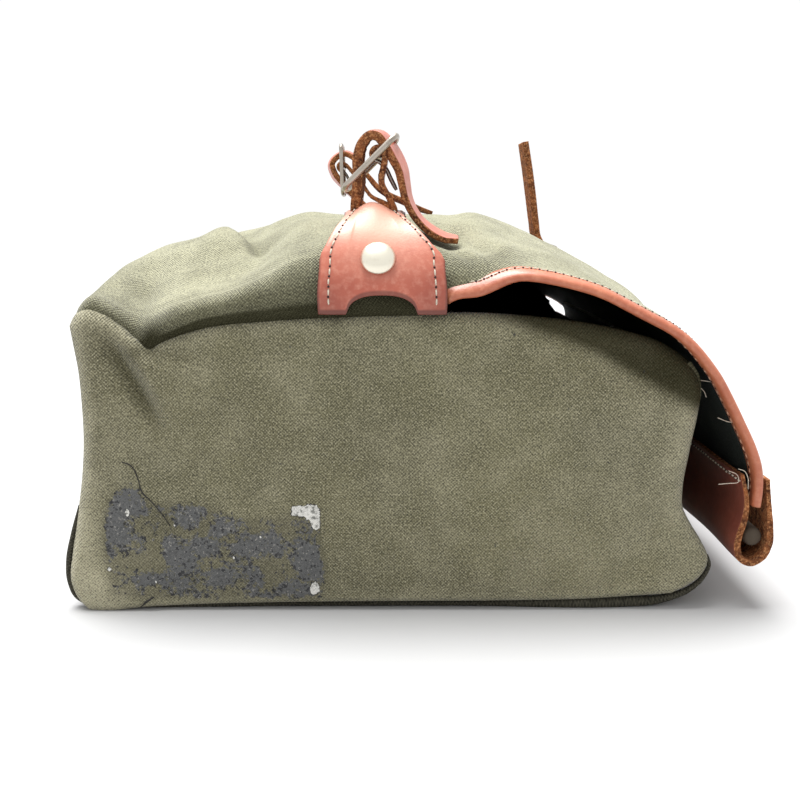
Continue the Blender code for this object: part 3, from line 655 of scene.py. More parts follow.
def coons(bottom, top, left, right, columns, rows):
    """A flat patch filled in between four curves, as (rows, columns, 2)."""
    b, t = along(bottom, columns), along(top, columns)
    lft, r = along(left, rows), along(right, rows)
    u = np.linspace(0, 1, columns)[None, :, None]
    v = np.linspace(0, 1, rows)[:, None, None]
    return ((1 - v) * b[None] + v * t[None] + (1 - u) * lft[:, None] + u * r[:, None]
            - ((1 - u) * (1 - v) * b[0] + u * v * t[-1] + u * (1 - v) * b[-1] + (1 - u) * v * t[0]))


def line_hollow(x, z, start, end, width, depth):
    """A soft trough along a segment, fading at both ends."""
    p, q = np.array(start, float), np.array(end, float)
    d = q - p
    t = ((x - p[0]) * d[0] + (z - p[1]) * d[1]) / (d @ d)
    off = ((x - p[0]) * -d[1] + (z - p[1]) * d[0]) / math.sqrt(d @ d)
    return depth * np.exp(-(off / width) ** 2) * ramp(t, -0.25, 0.2) * (1 - ramp(t, 0.7, 1.3))


def end_panel(side, name, top, right, look):
    flat = coons(BOTTOM, top, LEFT, right, 420, 200)
    x, z = flat[..., 0], flat[..., 1]
    outline = np.concatenate([along(BOTTOM, 120)[:-1], along(right, 80)[:-1], along(top, 160)[::-1][:-1],
                              along(LEFT, 80)[::-1][:-1]])
    depth = distance_inside(flat.reshape(-1, 2), outline).reshape(x.shape)
    depth = np.maximum(depth, 0)
    radius = 3.0 + 3.6 * ramp(z, 6, 34)
    edge = np.clip(depth / radius, 0, 1)
    back = radius * (1 - np.sqrt(np.clip(1 - (1 - edge) ** 2, 0, 1)))
    where = np.stack([x, np.full_like(x, side * 40.0), z], -1)
    back += 0.55 * ripples(where, 62, 3 + side) * ramp(depth, 0, 14)
    back += 0.22 * ripples(where, 17, 9 + side) * ramp(depth, 0, 8)
    back -= 1.6 * hill(x, z, (-5, 55), (80, 40))
    back += line_hollow(x, z, (-119, 107), (-102, 76), 4.2, 4.6)
    back += line_hollow(x, z, (-108, 103), (-84, 101), 3.0, 1.6)
    back -= line_hollow(x, z, (-113, 112), (-100, 88), 3.0, 1.2)
    back += 5.5 * ramp(x, 5, 75) * ramp(z, 74, 106)
    back -= 1.8 * hill(x, z, (-120, 9), (22, 14))
    back -= line_hollow(x, z, (66, 84), (104, 52), 9.0, 1.2)
    back += line_hollow(x, z, (96, 40), (78, 10), 7.0, 1.3)
    y = side * (END - 0.2 - back)
    grid = np.stack([x, y, z], -1)
    # painted shade along the panel's outline, in the fold below the pinch and at the pinch
    shade_and_dark_edges = np.clip(np.exp(-depth / 0.9) * 0.5, 0, 1)
    shade_and_dark_edges = np.maximum(shade_and_dark_edges, line_hollow(x, z, (-119, 107), (-102, 76), 3.0, 0.42))
    shade_and_dark_edges = np.maximum(shade_and_dark_edges, 0.50 * hill(x, z, (-106, 103), (7, 4.5)))
    # painted shadow of the flap on the panel's upper right
    line = np.interp(x, (8, 30, 55, 69, 84, 100, 107, 112), (119, 116, 108.5, 103, 94.5, 86, 82, 80))
    shade_and_dark_edges = np.maximum(shade_and_dark_edges, ramp(z - line, -5, 3) * ramp(x, 4, 46))
    # lighter rounded edges, margins and bottom: painted highlight and fade
    fade_and_highlight = 0.22 * bump_at(depth, 3.0, 4.0) * ramp(z, 20, 60) * (x < 90)
    fade_and_highlight = fade_and_highlight + 0.70 * bump_at(x, -136, 11) * (1 - ramp(z, 30, 80)) + 0.25 * bump_at(x, -132, 6)
    fade_and_highlight = fade_and_highlight + 0.22 * ramp(x, 20, 105) * (1 - ramp(z, 45, 90)) + 0.45 * bump_at(z, 2, 6)
    fade_and_highlight = fade_and_highlight + 0.30 * bump_at(x, 102, 7) * (1 - ramp(z, 78, 92))
    fade_and_highlight = fade_and_highlight + 0.55 * hill(x, z, (-128, 6), (14, 14))
    values = {"shade_and_dark_edges": shade_and_dark_edges, "fade_and_highlight": fade_and_highlight}
    if look is CANVAS_WORN:
        sharp = distance_inside(flat.reshape(-1, 2), RESIDUE).reshape(x.shape)
        stain = 0.34 * ramp(sharp, -3.0, 3.5)
        for (cx, cz), (rx, rz) in SMEARS:
            spot = 0.80 * np.exp(-(((x - cx) / rx) ** 2 + ((z - cz) / rz) ** 2))
            stain = np.maximum(stain, spot * ramp(sharp, -5, 2))
        stain = stain + 0.14 * bump_at(sharp, 1.2, 2.0)
        torn = np.zeros_like(x)
        for (cx, cz), (rx, rz) in TORN:
            reach = np.sqrt(((x - cx) / rx) ** 2 + ((z - cz) / rz) ** 2)
            torn = np.maximum(torn, 1 - ramp(reach, 0.5, 1.5))
        values["residue"] = stain
        values["torn"] = torn
    uv = np.stack([x, z], -1) / 10
    shell("end_canvas_" + name, grid, END_THICK, [look, LINING_SHADED], "bag", ["end_panel_" + name],
          values=values, flip=side < 0, uv=uv)
    return grid


near_grid = end_panel(-1, "near", TOP_NEAR, RIGHT_NEAR, CANVAS_WORN)
end_panel(1, "far", TOP_FAR, RIGHT_FAR, CANVAS)


# ---------------------------------------------------------------- walls, welts and base

def walls():
    """Back wall, base and front wall in one wrap between the end panels' seams."""
    section = np.concatenate([along(LEFT[::-1], 70), along(BOTTOM, 90)[1:-1], along(RIGHT_NEAR[:-1], 60)])
    section[:, 1] = np.maximum(section[:, 1], 0.9)
    rows = np.concatenate([np.linspace(-158.0, -140, 16)[:-1], np.linspace(-140, 140, 90),
                           np.linspace(140, 158, 16)[1:]])
    grid = np.zeros((len(section), len(rows), 3))
    grid[..., 0] = section[:, 0][:, None]
    grid[..., 2] = section[:, 1][:, None]
    grid[..., 1] = rows[None]
    x, y, z = grid[..., 0], grid[..., 1], grid[..., 2]
    middle = np.cos(y / 158 * math.pi / 2)
    upright = np.sin(np.clip((z - 14) / 88, 0, 1) * math.pi)
    sway = 2.6 * middle * upright + 0.9 * ripples(grid, 70, 21) * ramp(z, 8, 25) * middle ** 0.5
    grid[..., 0] += np.sign(x) * sway * (np.abs(x) > 95)
    # painted shadow of the flap on the front wall's top corner, and painted shade at the end seams
    corner = 0.95 * ramp(z, 84, 91) * (x > 95) * ramp(np.abs(y), 140, 152)
    shade_and_dark_edges = np.maximum(0.35 * np.exp(-(158 - np.abs(y)) / 2.5), corner)
    # upper walls lighter as painted highlight, the base a little lighter
    shell("body_canvas", grid, WALL_THICK, [CANVAS, LINING_SHADED], "bag", ["body_wrap"],
          values={"shade_and_dark_edges": shade_and_dark_edges, "fade_and_highlight": 0.25 * ramp(z, 70, 110) + 0.1 * (z < 5)}, flip=True)


def welt(side, name):
    path = [(-134.0, 42), (-137.4, 30), (-139.6, 19), (-139.4, 11.0), (-136.8, 4.6), (-132.0, 1.9),
            (-125, 1.3),
            (-110, 1.2), (-60, 1.2), (0, 1.3), (40, 1.5), (80, 2.0), (98, 3.2), (108.4, 7.0), (114.2, 12.6),
            (116.2, 17.5), (115.0, 21.5)]
    radii = [0.7, 1.2, 1.6, 1.7, 1.7, 1.6, 1.2, 1.1, 1.1, 1.1, 1.1, 1.4, 2.2, 2.6, 2.1, 1.3, 0.7]
    points = [(x, side * 160.6, z) for x, z in path]
    tube("welt_canvas_" + name, points, radii, WELT_SHADED, "bag", ["end_welt_" + name], sides=12,
         spacing=1.0)


walls()
for side, name in ENDS:
    welt(side, name)


def paint(node, look):
    """A CAD node whose shape is right keeps it and takes a finished material."""
    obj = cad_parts[node]
    obj.data.materials.clear()
    obj.data.materials.append(look)


paint("base_board", BOARD)
paint("inner_pocket", LINING_SHADED)
paint("mouth_facing", CANVAS)
paint("closure_snap_stud", NICKEL)
paint("closure_snap_socket", NICKEL)

# ---------------------------------------------------------------- top and flap canvas

# Each station across the top gives its X and the canvas's (distance in from the end, height) at eleven knots,
# from the end seam to the middle of the bag.
TOP_STATIONS = [
    (-134.0, [(8, 111.5), (8, 112.3), (9, 113.0), (10, 113.4), (12, 113.6), (16, 113.8), (24, 114.0),
              (38, 114),
              (60, 114), (100, 114), (165, 114)]),
    (-131.6, [(5, 114.6), (5, 116.2), (6, 117.6), (8, 119.2), (10, 120.4), (14, 121.2), (22, 122.2),
              (36, 123.6),
              (60, 125), (100, 125.6), (165, 125.8)]),
    (-126.6, [(4.5, 115.5), (4.6, 117.6), (5.2, 120.4), (6.8, 123.0), (9.8, 124.4), (15, 125.0),
              (23, 127.0),
              (36, 130.2), (60, 133.4), (100, 134.6), (165, 134.8)]),
    (-118.6, [(5, 111.5), (5.2, 113.2), (5.4, 115.8), (6.4, 118.8), (9, 120.8), (15, 122.4), (23, 126.4),
              (36, 132.0), (60, 137.6), (100, 138.8), (165, 139.2)]),
    (-109.0, [(5, 104.5), (5.4, 106.2), (6.2, 108.8), (7.2, 112.2), (9.4, 115.2), (14, 118.2), (23, 122.8),
              (36, 130.2), (60, 141.0), (100, 142.2), (165, 142.6)]),
    (-102.5, [(4.5, 104.0), (3.4, 106.6), (2.8, 109.8), (3.2, 113.0), (5.2, 116.2), (10, 119.2),
              (20, 123.2),
              (34, 131.0), (58, 142.8), (100, 144.0), (165, 144.4)]),
    (-94.0, [(4.0, 107.8), (1.8, 110.4), (0.6, 113.4), (0.4, 117.0), (2.2, 120.4), (7.5, 122.4),
             (19, 126.0),
             (35, 134.2), (60, 145.4), (100, 146.6), (165, 147.0)]),
    (-84.0, [(3.6, 111.4), (0.9, 114.2), (-0.4, 117.4), (-0.2, 120.8), (2.4, 123.4), (8, 124.8),
             (20, 128.2),
             (36, 136.5), (60, 147.0), (100, 148.0), (165, 148.4)]),
    (-72.0, [(3.4, 113.4), (0.6, 116.4), (-0.8, 120.0), (-0.6, 123.6), (2.0, 126.4), (7.4, 127.8),
             (18.5, 131.4),
             (35, 139.0), (60, 148.2), (100, 149.8), (165, 150.2)]),
    (-60.0, [(3.2, 114.4), (0.5, 117.6), (-1.0, 122.0), (-0.9, 127.0), (1.6, 131.0), (7, 133.0),
             (18, 137.4),
             (34, 144.0), (60, 151.2), (100, 152.6), (165, 152.8)]),
    (-48.0, [(3.2, 115.4), (0.5, 118.8), (-0.9, 124.4), (-0.8, 130.6), (1.6, 136.4), (6.6, 139.8),
             (17, 144.2),
             (34, 149.8), (60, 154.6), (100, 155.4), (165, 155.4)]),
    (-37.0, [(3.2, 116.0), (0.8, 119.6), (-0.2, 125.8), (0.6, 132.4), (3.2, 138.4), (7.8, 142.6),
             (17, 146.6),
             (34, 150.6), (60, 154.4), (100, 155.4), (165, 155.4)]),
    (-14.0, [(3.2, 116.8), (1.6, 120.2), (1.6, 126.4), (2.8, 132.2), (5.8, 137.4), (10.6, 142.0),
             (19, 146.4),
             (34, 150.2), (60, 153.6), (100, 155.4), (165, 155.4)]),
    (5.0, [(3.0, 118.4), (1.8, 121.8), (1.8, 127.4), (2.8, 132.6), (5.6, 137.6), (10.4, 141.8), (19, 145.6),
           (34, 149.8), (60, 153.6), (100, 155.4), (165, 155.4)]),
    (11.0, [(0.6, 124.6), (1.6, 126.4), (1.8, 129.6), (2.8, 133.4), (5.6, 137.6), (10.6, 141.6),
            (18.6, 145.2),
            (34, 149.8), (60, 153.6), (100, 155.2), (165, 155.2)]),
    (22.7, [(0.4, 127.2), (1.8, 128.9), (2.9, 131.5), (4.6, 134.6), (7.6, 138.2), (12.6, 141.8),
            (20.5, 145.2),
            (35, 149.2), (60, 152.2), (100, 153.2), (165, 153.2)]),
]
# Each station of the flap gives its edge's (X, Z) at the end and its (X, Z) along the middle.
FLAP_STATIONS = [
    ((37.7, 132.8), (38.0, 147.8)), ((52.7, 131.2), (52.7, 141.8)), ((67.9, 126.9), (67.5, 135.0)),
    ((85.1, 118.6), (84.6, 125.2)), ((98.6, 111.4), (97.5, 115.8)), ((107.0, 104.4), (105.0, 107.0)),
    ((114.4, 95.2), (112.0, 98.6)), ((119.9, 85.9), (117.4, 88.8)), ((125.4, 75.6), (122.6, 78.0)),
    ((130.2, 66.0), (127.0, 67.6)), ((132.6, 59.0), (129.6, 59.6)), ((133.6, 50.0), (131.2, 50.0)),
    ((133.0, 41.5), (131.2, 41.5))]
FLAP_SHARE = [0, 0.05, 0.12, 0.22, 0.34, 0.48, 0.63, 0.78, 0.90, 0.98, 1.0]
FLAP_REACH = [0.4, 2.2, 4.6, 8.0, 12.5, 18.0, 27, 42, 66, 105, 165]


def valley_at(inward):
    """X of the long hollow across the top, at a distance in from the near end."""
    return -64 - (inward - 35) * 0.30


def top_and_flap():
    """One sheet from the back wall, over the top and down the flap: (stations, across, 3), near end first."""
    rows = []
    for x, section in TOP_STATIONS:
        rows.append([(x, d, z) for d, z in section])
    for (xe, ze), (xc, zc) in FLAP_STATIONS:
        rows.append([(xe + (xc - xe) * s, d, ze + (zc - ze) * s) for s, d in zip(FLAP_SHARE, FLAP_REACH)])
    rows = np.array(rows, float)
    knot_at = np.concatenate([np.linspace(0, 6, 52)[:-1], np.linspace(6, 10, 34)])
    dense = np.array([hermite(np.arange(11), row, knot_at) for row in rows])
    station_at = chord(dense[:, 48])
    count = 300
    at = np.linspace(0, station_at[-1], count)
    half = hermite(station_at, dense.reshape(len(rows), -1), at).reshape(count, len(knot_at), 3)
    near, far = half.copy(), half.copy()
    near[..., 1] = half[..., 1] - END
    far[..., 1] = END - half[..., 1]
    x, d = near[..., 0], half[..., 1]
    valley = valley_at(d)
    dent = np.where(x < valley, np.exp(-((x - valley) / 4.0) ** 2), np.exp(-((x - valley) / 9.0) ** 2))
    near[..., 2] -= 6.0 * dent * ramp(d, 22, 46) * (1 - ramp(d, 90, 130))
    near[..., 2] += 3.6 * hill(x, d, (-86, 72), (7, 24))
    near[..., 2] -= 2.4 * hill(x, d, (-112, 26), (9, 9))
    near[..., 2] -= 2.6 * hill(x, d, (-66, 22), (12, 9))
    near[..., 2] -= 7.0 * hill(x, d, (12, 30), (10, 13))
    crown = ramp(x, 14, 30) * (1 - ramp(x, 94, 108))
    near[..., 2] += 5.4 * bump_at(d, 98, 40) * crown
    near[..., 2] -= 3.0 * hill(x, d, (25, 19), (5, 7))
    near[..., 2] -= 2.0 * np.exp(-((x - 17 + (d - 12) * 0.5) / 3) ** 2 - ((d - 13) / 6) ** 2)
    near[..., 2] += 1.2 * hill(x, d, (34, 22), (5, 8))
    drop = np.interp(far[..., 0], (20, 38, 53, 68, 85, 98, 107, 114, 120),
                     (0, 8.5, 12.6, 14.2, 12.0, 9.0, 6.6, 3.4, 0))
    far[..., 2] -= drop * (1 - ramp(d, 0, 62))
    rise = ramp(far[..., 0], 26, 42) * (1 - ramp(far[..., 0], 92, 108))
    far[..., 2] += 3.8 * rise * bump_at(d, 92, 36)
    grid = np.concatenate([near, far[:, ::-1][:, 1:]], axis=1)
    n = normals_of(grid)
    if n[count // 2, grid.shape[1] // 2, 2] < 0:
        n = -n
    away = ramp(END - np.abs(grid[..., 1]), 2, 12)
    front = 1 - ramp(grid[..., 0], 104, 124)
    rear = ramp(grid[..., 0], -131, -118)
    wander = 0.9 * ripples(grid, 48, 5) + 0.35 * ripples(grid, 19, 6)
    grid = grid + n * (wander * away * front * rear)[..., None]
    grid[..., 0] -= 3.5 * np.exp(-(grid[..., 1] / 55) ** 2) * ramp(grid[..., 0], 60, 128)
    return grid, n, np.broadcast_to(np.concatenate([knot_at, knot_at[::-1][1:]]), grid.shape[:2])


sheet_grid, sheet_normal, sheet_knot = top_and_flap()


def top_canvas():
    x, y = sheet_grid[..., 0], sheet_grid[..., 1]
    d = END - np.abs(y)
    k = sheet_knot
    # painted highlight with sun fade: paler on the top and flap, brightest along the ridge
    top = ramp(k, 4.3, 5.6)
    on_flap = ramp(x, 26, 46)
    fade_and_highlight = 0.78 * top * ramp(x, -131, -120) * (1 - on_flap) + 0.75 * on_flap * (1 - 0.5 * ramp(x, 96, 124))
    fade_and_highlight = fade_and_highlight + 0.45 * bump_at(k, 4.5, 0.30) * (x < 8) + 0.16 * bump_at(k, 3.6, 0.8) * (x < -40)
    fade_and_highlight = fade_and_highlight + 0.22 * ripples(sheet_grid, 32, 8) * top
    fade_and_highlight = fade_and_highlight * (1 - 0.45 * hill(x, d, (-114, 24), (12, 12)))
    # painted shade in the seam by the end panel, at the pinch, in the folds and in the long hollow
    shade_and_dark_edges = 1.3 * (1 - ramp(k, 0.8, 1.8)) * (x < 8) + 0.50 * (1 - ramp(k, 1.2, 3.6)) * (x < 8)
    shade_and_dark_edges = shade_and_dark_edges + 0.60 * bump_at(x, -103, 5) * (1 - ramp(k, 2.6, 4.4))
    shade_and_dark_edges = shade_and_dark_edges + 0.35 * bump_at(x, 10, 5) * (1 - ramp(k, 2.0, 4.0))
    shade_and_dark_edges = shade_and_dark_edges + 0.75 * ramp(x, -30, -24) * (1 - ramp(x, -5, 1)) * (1 - ramp(k, 2.4, 3.6))
    valley = valley_at(d)
    inside = np.exp(-((x - valley + 1.5) / 4.0) ** 2) * ramp(d, 30, 48) * (1 - ramp(d, 90, 125)) * (y < 0)
    shade_and_dark_edges = shade_and_dark_edges + 0.42 * inside
    shade_and_dark_edges = shade_and_dark_edges + 0.30 * np.exp(-((x - 17 + (d - 12) * 0.5) / 2.4) ** 2 - ((d - 13) / 6) ** 2) * (y < 0)
    shell("top_flap_canvas", sheet_grid[:-6], TOP_THICK, [CANVAS, LINING_SHADED], None,
          ["top_panel", "flap_canvas"],
          values={"fade_and_highlight": np.clip(fade_and_highlight, 0, 1)[:-6], "shade_and_dark_edges": np.clip(shade_and_dark_edges, 0, 1)[:-6]}, flip=FLIP)


FLIP = bool(normals_of(sheet_grid)[150, 80, 2] < 0)
top_canvas()


def flap_lining():
    start = int(np.argmax(sheet_grid[:, 80, 0] > 30))
    part = sheet_grid[start:-9, 2:-2] - sheet_normal[start:-9, 2:-2] * 1.8
    puckers = 0.4 * ripples(part, 26, 31) * ramp(END - np.abs(part[..., 1]), 6, 20)
    part = part - sheet_normal[start:-9, 2:-2] * np.abs(puckers)[..., None]
    shell("flap_lining_cloth", part, LINING_THICK, [LINING_SHADED], None, ["flap_lining"], flip=FLIP)


flap_lining()


# ---------------------------------------------------------------- leather binding round the flap's ends

def binding(side, name):
    """Leather folded round the flap's end: a rounded edge with a stitched flange above and below."""
    first = int(np.argmax(sheet_grid[:, 0, 0] > 10.2))
    column = 0 if side < 0 else sheet_grid.shape[1] - 1
    step = 5 if side < 0 else -5
    edge = sheet_grid[first:-1, column]
    inward = unit(sheet_grid[first:-1, column + step] - edge)
    out = sheet_normal[first:-1, column]
    out = unit(out - (out * inward).sum(1)[:, None] * inward)
    ring = np.array([(6.0, 0.70), (4.8, 0.95), (2.4, 1.0), (0.8, 0.98), (-0.6, 0.6), (-1.5, 0.0),
                     (-1.9, -0.8),
                     (-1.8, -1.6), (-1.2, -2.3), (-0.2, -2.75), (1.2, -2.9), (3.2, -2.95), (6.0, -2.85),
                     (6.1, -2.55),
                     (3.2, -2.5), (1.2, -2.3), (0.4, -1.8), (0.25, -0.9), (0.4, -0.1), (1.2, 0.06),
                     (3.2, 0.08),
                     (6.0, 0.08)])
    sections = inward[:, None] * ring[None, :, :1] + out[:, None] * ring[None, :, 1:]
    if side < 0:
        sections = sections[:, ::-1]
    wave = 0.15 * ripples(edge, 24, 14 + side)
    centres = edge + out * wave[:, None]
    sweep("flap_binding_leather_" + name, centres, sections, LEATHER_EDGE, None,
          ["flap_binding_" + name])
    upper = centres + inward * 3.9 + out * 1.0
    seam("binding_stitches_" + name, upper[2:-2], out[2:-2], None, pitch=3.1, length=2.0, radius=0.24,
         look=THREAD)
    lower = centres + inward * 3.6 - out * 2.95
    keep = centres[:, 0] > 100
    seam("binding_stitches_under_" + name, lower[keep][:-2], -out[keep][:-2], None, pitch=3.1, length=2.0,
         radius=0.24,
         lift=-0.05, look=THREAD_TAN)


for side, name in ENDS:
    binding(side, name)


# ---------------------------------------------------------------- leather straps

def strap(name, path, y_low, y_high, thickness, body, replaced, twist=(0, 0), spacing=0.55,
          rows_across=11, seed=1, skived=None, taper=None, looks=None, rough_edge=0.30, thin=None):
    """A leather strap. Its left side along the path is the smooth one; its edges and other side are raw.

    path holds (X, Z) of the middle. twist (degrees) rolls it about its path, taper narrows it and thin makes it
    thinner. All three are given at even shares of its length.
    """
    pts = np.array([(x, 0.0, z) for x, z in path])
    length = chord(pts)[-1]
    count = int(length / spacing)
    centre = along(pts, count)
    share = np.linspace(0, 1, count)
    tangent = unit(np.gradient(centre, axis=0))
    left = np.stack([-tangent[:, 2], np.zeros(count), tangent[:, 0]], -1)
    across = np.zeros((count, 3))
    across[:, 1] = 1.0
    roll = np.radians(hermite(np.linspace(0, 1, len(twist)), twist, share)[:, 0])[:, None]
    left, across = left * np.cos(roll) + across * np.sin(roll), across * np.cos(roll) - left * np.sin(roll)
    half = np.full(count, (y_high - y_low) / 2)
    if taper is not None:
        half = half * hermite(np.linspace(0, 1, len(taper)), taper, share)[:, 0]
    thick = np.full(count, thickness / 2)
    if thin is not None:
        thick = thick * hermite(np.linspace(0, 1, len(thin)), thin, share)[:, 0]
    if skived is not None:
        thick = thick * (0.62 + 0.38 * ramp(share, skived * 0.8, skived * 1.1))
    soft = 0.28
    flat = np.linspace(-1, 1, rows_across)
    ring = []
    kinds = []
    for s in flat:
        ring.append((s * (1 - soft / 6), 1.0))
        kinds.append(0)
    kinds[-1] = 1
    for a in (0.55, 0.0, -0.55):
        ring.append((1.0, a))
        kinds.append(1)
    for s in flat[::-1]:
        ring.append((s * (1 - soft / 6), -1.0))
        kinds.append(1)
    for a in (-0.55, 0.0, 0.55):
        ring.append((-1.0, a))
        kinds.append(1)
    ring = np.array(ring)
    sections = (across[:, None] * ring[None, :, :1] * half[:, None, None]
                + left[:, None] * ring[None, :, 1:] * thick[:, None, None])
    middle = centre.copy()
    middle[:, 1] = (y_low + y_high) / 2
    points = middle[:, None] + sections
    fuzz = rough(points, 1.5, seed) * rough_edge + rough(points, 4.0, seed + 5) * rough_edge * 0.8
    smooth_side = ring[:, 1] > 0.9
    push = np.where(smooth_side[None], 0.12, 1.0) * fuzz
    direction = sections / np.maximum(np.linalg.norm(sections, axis=2, keepdims=True), 1e-6)
    edge_only = np.abs(ring[:, 0])[None, :, None] > 0.93
    outward = np.where(edge_only, np.sign(ring[:, 0])[None, :, None] * across[:, None],
                       np.sign(ring[:, 1])[None, :, None] * left[:, None])
    sections = sections + outward * push[..., None]
    sweep(name, middle, sections, looks or [LEATHER, RAW], body, replaced, pick=kinds)


def fold_round(bar, first, radius):
    """The loop of a strap round its bar, ending where its leg, whose first point is given, starts."""
    heading = math.degrees(math.atan2(first[1] - bar[1], first[0] - bar[0]))
    return [(bar[0] + radius * math.cos(math.radians(heading + 295 - 45 * i)),
             bar[1] + radius * math.sin(math.radians(heading + 295 - 45 * i))) for i in range(6)]


UNDER_BRIDGE = [(-9.8, 157.0), (-10.2, 153.8), (-12.4, 151.8), (-17.5, 151.6), (-22.6, 151.8),
                (-24.8, 153.8)]
LASH_NEAR = [(-14.6, 167.5), (-11.6, 161.6)] + UNDER_BRIDGE + [
    (-25.0, 157.4), (-24.2, 163.8), (-23.6, 170.0), (-23.8, 177.0), (-22.2, 183.0),
    (-19.0, 186.4), (-15.6, 186.2), (-12.4, 183.0), (-9.4, 178.4), (-6.8, 173.0), (-5.6, 167.4),
    (-4.6, 162.4), (-2.6, 157.6), (0.6, 153.0), (5.0, 149.2), (10.4, 146.4), (16.0, 145.4)]
LASH_FAR = [(-39.0, 185.0), (-32.5, 177.4), (-26.5, 169.4), (-19.0, 165.2),
            (-12.6, 161.4)] + UNDER_BRIDGE + [
    (-25.1, 157.4), (-29.6, 161.8), (-38.4, 169.6), (-45.6, 177.0), (-51.0, 183.6), (-52.6, 190.2),
    (-49.2, 194.6), (-43.5, 196.9), (-38.2, 194.6), (-33.5, 188.6), (-27.5, 181.0), (-21.0, 173.8),
    (-14.0, 169.4), (-5.0, 165.6), (4.0, 161.4), (14.0, 158.0)]
WIRE = 1.2
NEAR_FRAME = ((-28.9, 165.8), (-9.0, 185.2))
FAR_FRAME = ((-44.7, 170.5), (-45.6, 201.4))


def buckle(name, start, end, y_low, y_high, bar_share, body, replaced):
    """A rectangular wire frame in a plane through start and end, and its bar."""
    start, end = np.array(start, float), np.array(end, float)
    way = (end - start) / np.linalg.norm(end - start)
    length = np.linalg.norm(end - start)
    corner = 3.5
    loop = []
    for cx, cy, turn in ((length - corner, y_high - corner, 0), (corner, y_high - corner, 90),
                         (corner, y_low + corner, 180), (length - corner, y_low + corner, 270)):
        for i in range(7):
            a = math.radians(turn + 15 * i)
            s = cx + corner * math.cos(a)
            loop.append((start[0] + way[0] * s, cy + corner * math.sin(a), start[1] + way[1] * s))
    normal = (-way[1], 0.0, way[0])
    tube(name, loop, WIRE, NICKEL_SHADED, body, replaced, sides=14, closed=True, up=normal)
    if bar_share is None:
        return start
    at = start + way * length * bar_share
    bar = [(at[0], y, at[1]) for y in (y_low, 0.5 * (y_low + y_high), y_high)]
    tube(name + "_bar_wire", bar, WIRE * 0.9, NICKEL_SHADED, body, sides=12, up=(1, 0, 0))
    return at


def prong(name, pivot, tip, y, body, replaced):
    pivot, tip = np.array(pivot, float), np.array(tip, float)
    eye = WIRE * 0.9 + PRONG_RADIUS + 0.40
    heading = math.atan2(tip[1] - pivot[1], tip[0] - pivot[0])
    points = []
    for i in range(11):
        a = heading + math.radians(50 + 28 * i)
        points.append((pivot[0] + eye * math.cos(a), y, pivot[1] + eye * math.sin(a)))
    for share in (0.35, 0.7, 0.9, 1.0):
        at = pivot + (tip - pivot) * share
        points.append((at[0], y, at[1]))
    radii = [PRONG_RADIUS] * 13 + [0.85, 0.6]
    tube(name, points, radii, NICKEL_SHADED, body, replaced, sides=10, spacing=0.4)


def lash(side, name, path, frame_line, share, tip, twist, seed, thin, taper):
    low, high = sorted((side * (END - LASH_FROM), side * (END - LASH_TO)))
    reach = 3.2 + WIRE
    bar = buckle("lash_frame_" + name, *frame_line, low - reach, high + reach, share, "bag",
                 ["lash_buckle_" + name])
    whole = fold_round(bar, path[0], WIRE * 0.9 + 0.3 + 3.8 * 0.3) + path
    strap("lash_leather_" + name, whole, low, high, LASH_THICK, "bag", ["lash_strap_" + name], twist=twist,
          seed=seed, skived=7 / (len(whole) - 1), thin=thin, taper=taper)
    prong("lash_pin_" + name, bar, tip, (low + high) / 2, "prong_" + name, ["lash_prong_" + name])


lash(-1, "near", LASH_NEAR, NEAR_FRAME, 0.655, (-8.8, 165.0),
     (0, 0, 0, 0, 0, 0, 0, 2, 2, -2, -9, -12, -9, -7, -7, -9, -10), 3,
     (1, 1, 1, 1, 1.02, 1.05, 1, 0.86, 0.74, 0.66, 0.58), (1,) * 24 + (0.98, 0.80, 0.42))
lash(1, "far", LASH_FAR, FAR_FRAME, 0.56, (-39.4, 175.6), (0, 0, 0, 0, 0, 0, -4, -8, -6, 0, 4, 6, 4), 4,
     (1, 1, 1, 1, 1, 1, 0.95, 0.85, 0.75, 0.66, 0.60), (1,) * 24 + (0.98, 0.80, 0.42))


# ---------------------------------------------------------------- end patches and rivets

PATCH_RISE = [(-0.4, 118.1), (-0.5, 127), (0.4, 134.5), (3.0, 141.5), (8, 147.4), (15, 151.4), (24, 154.2),
              (35, 154.8), (46, 153.9), (56, 153.5)]


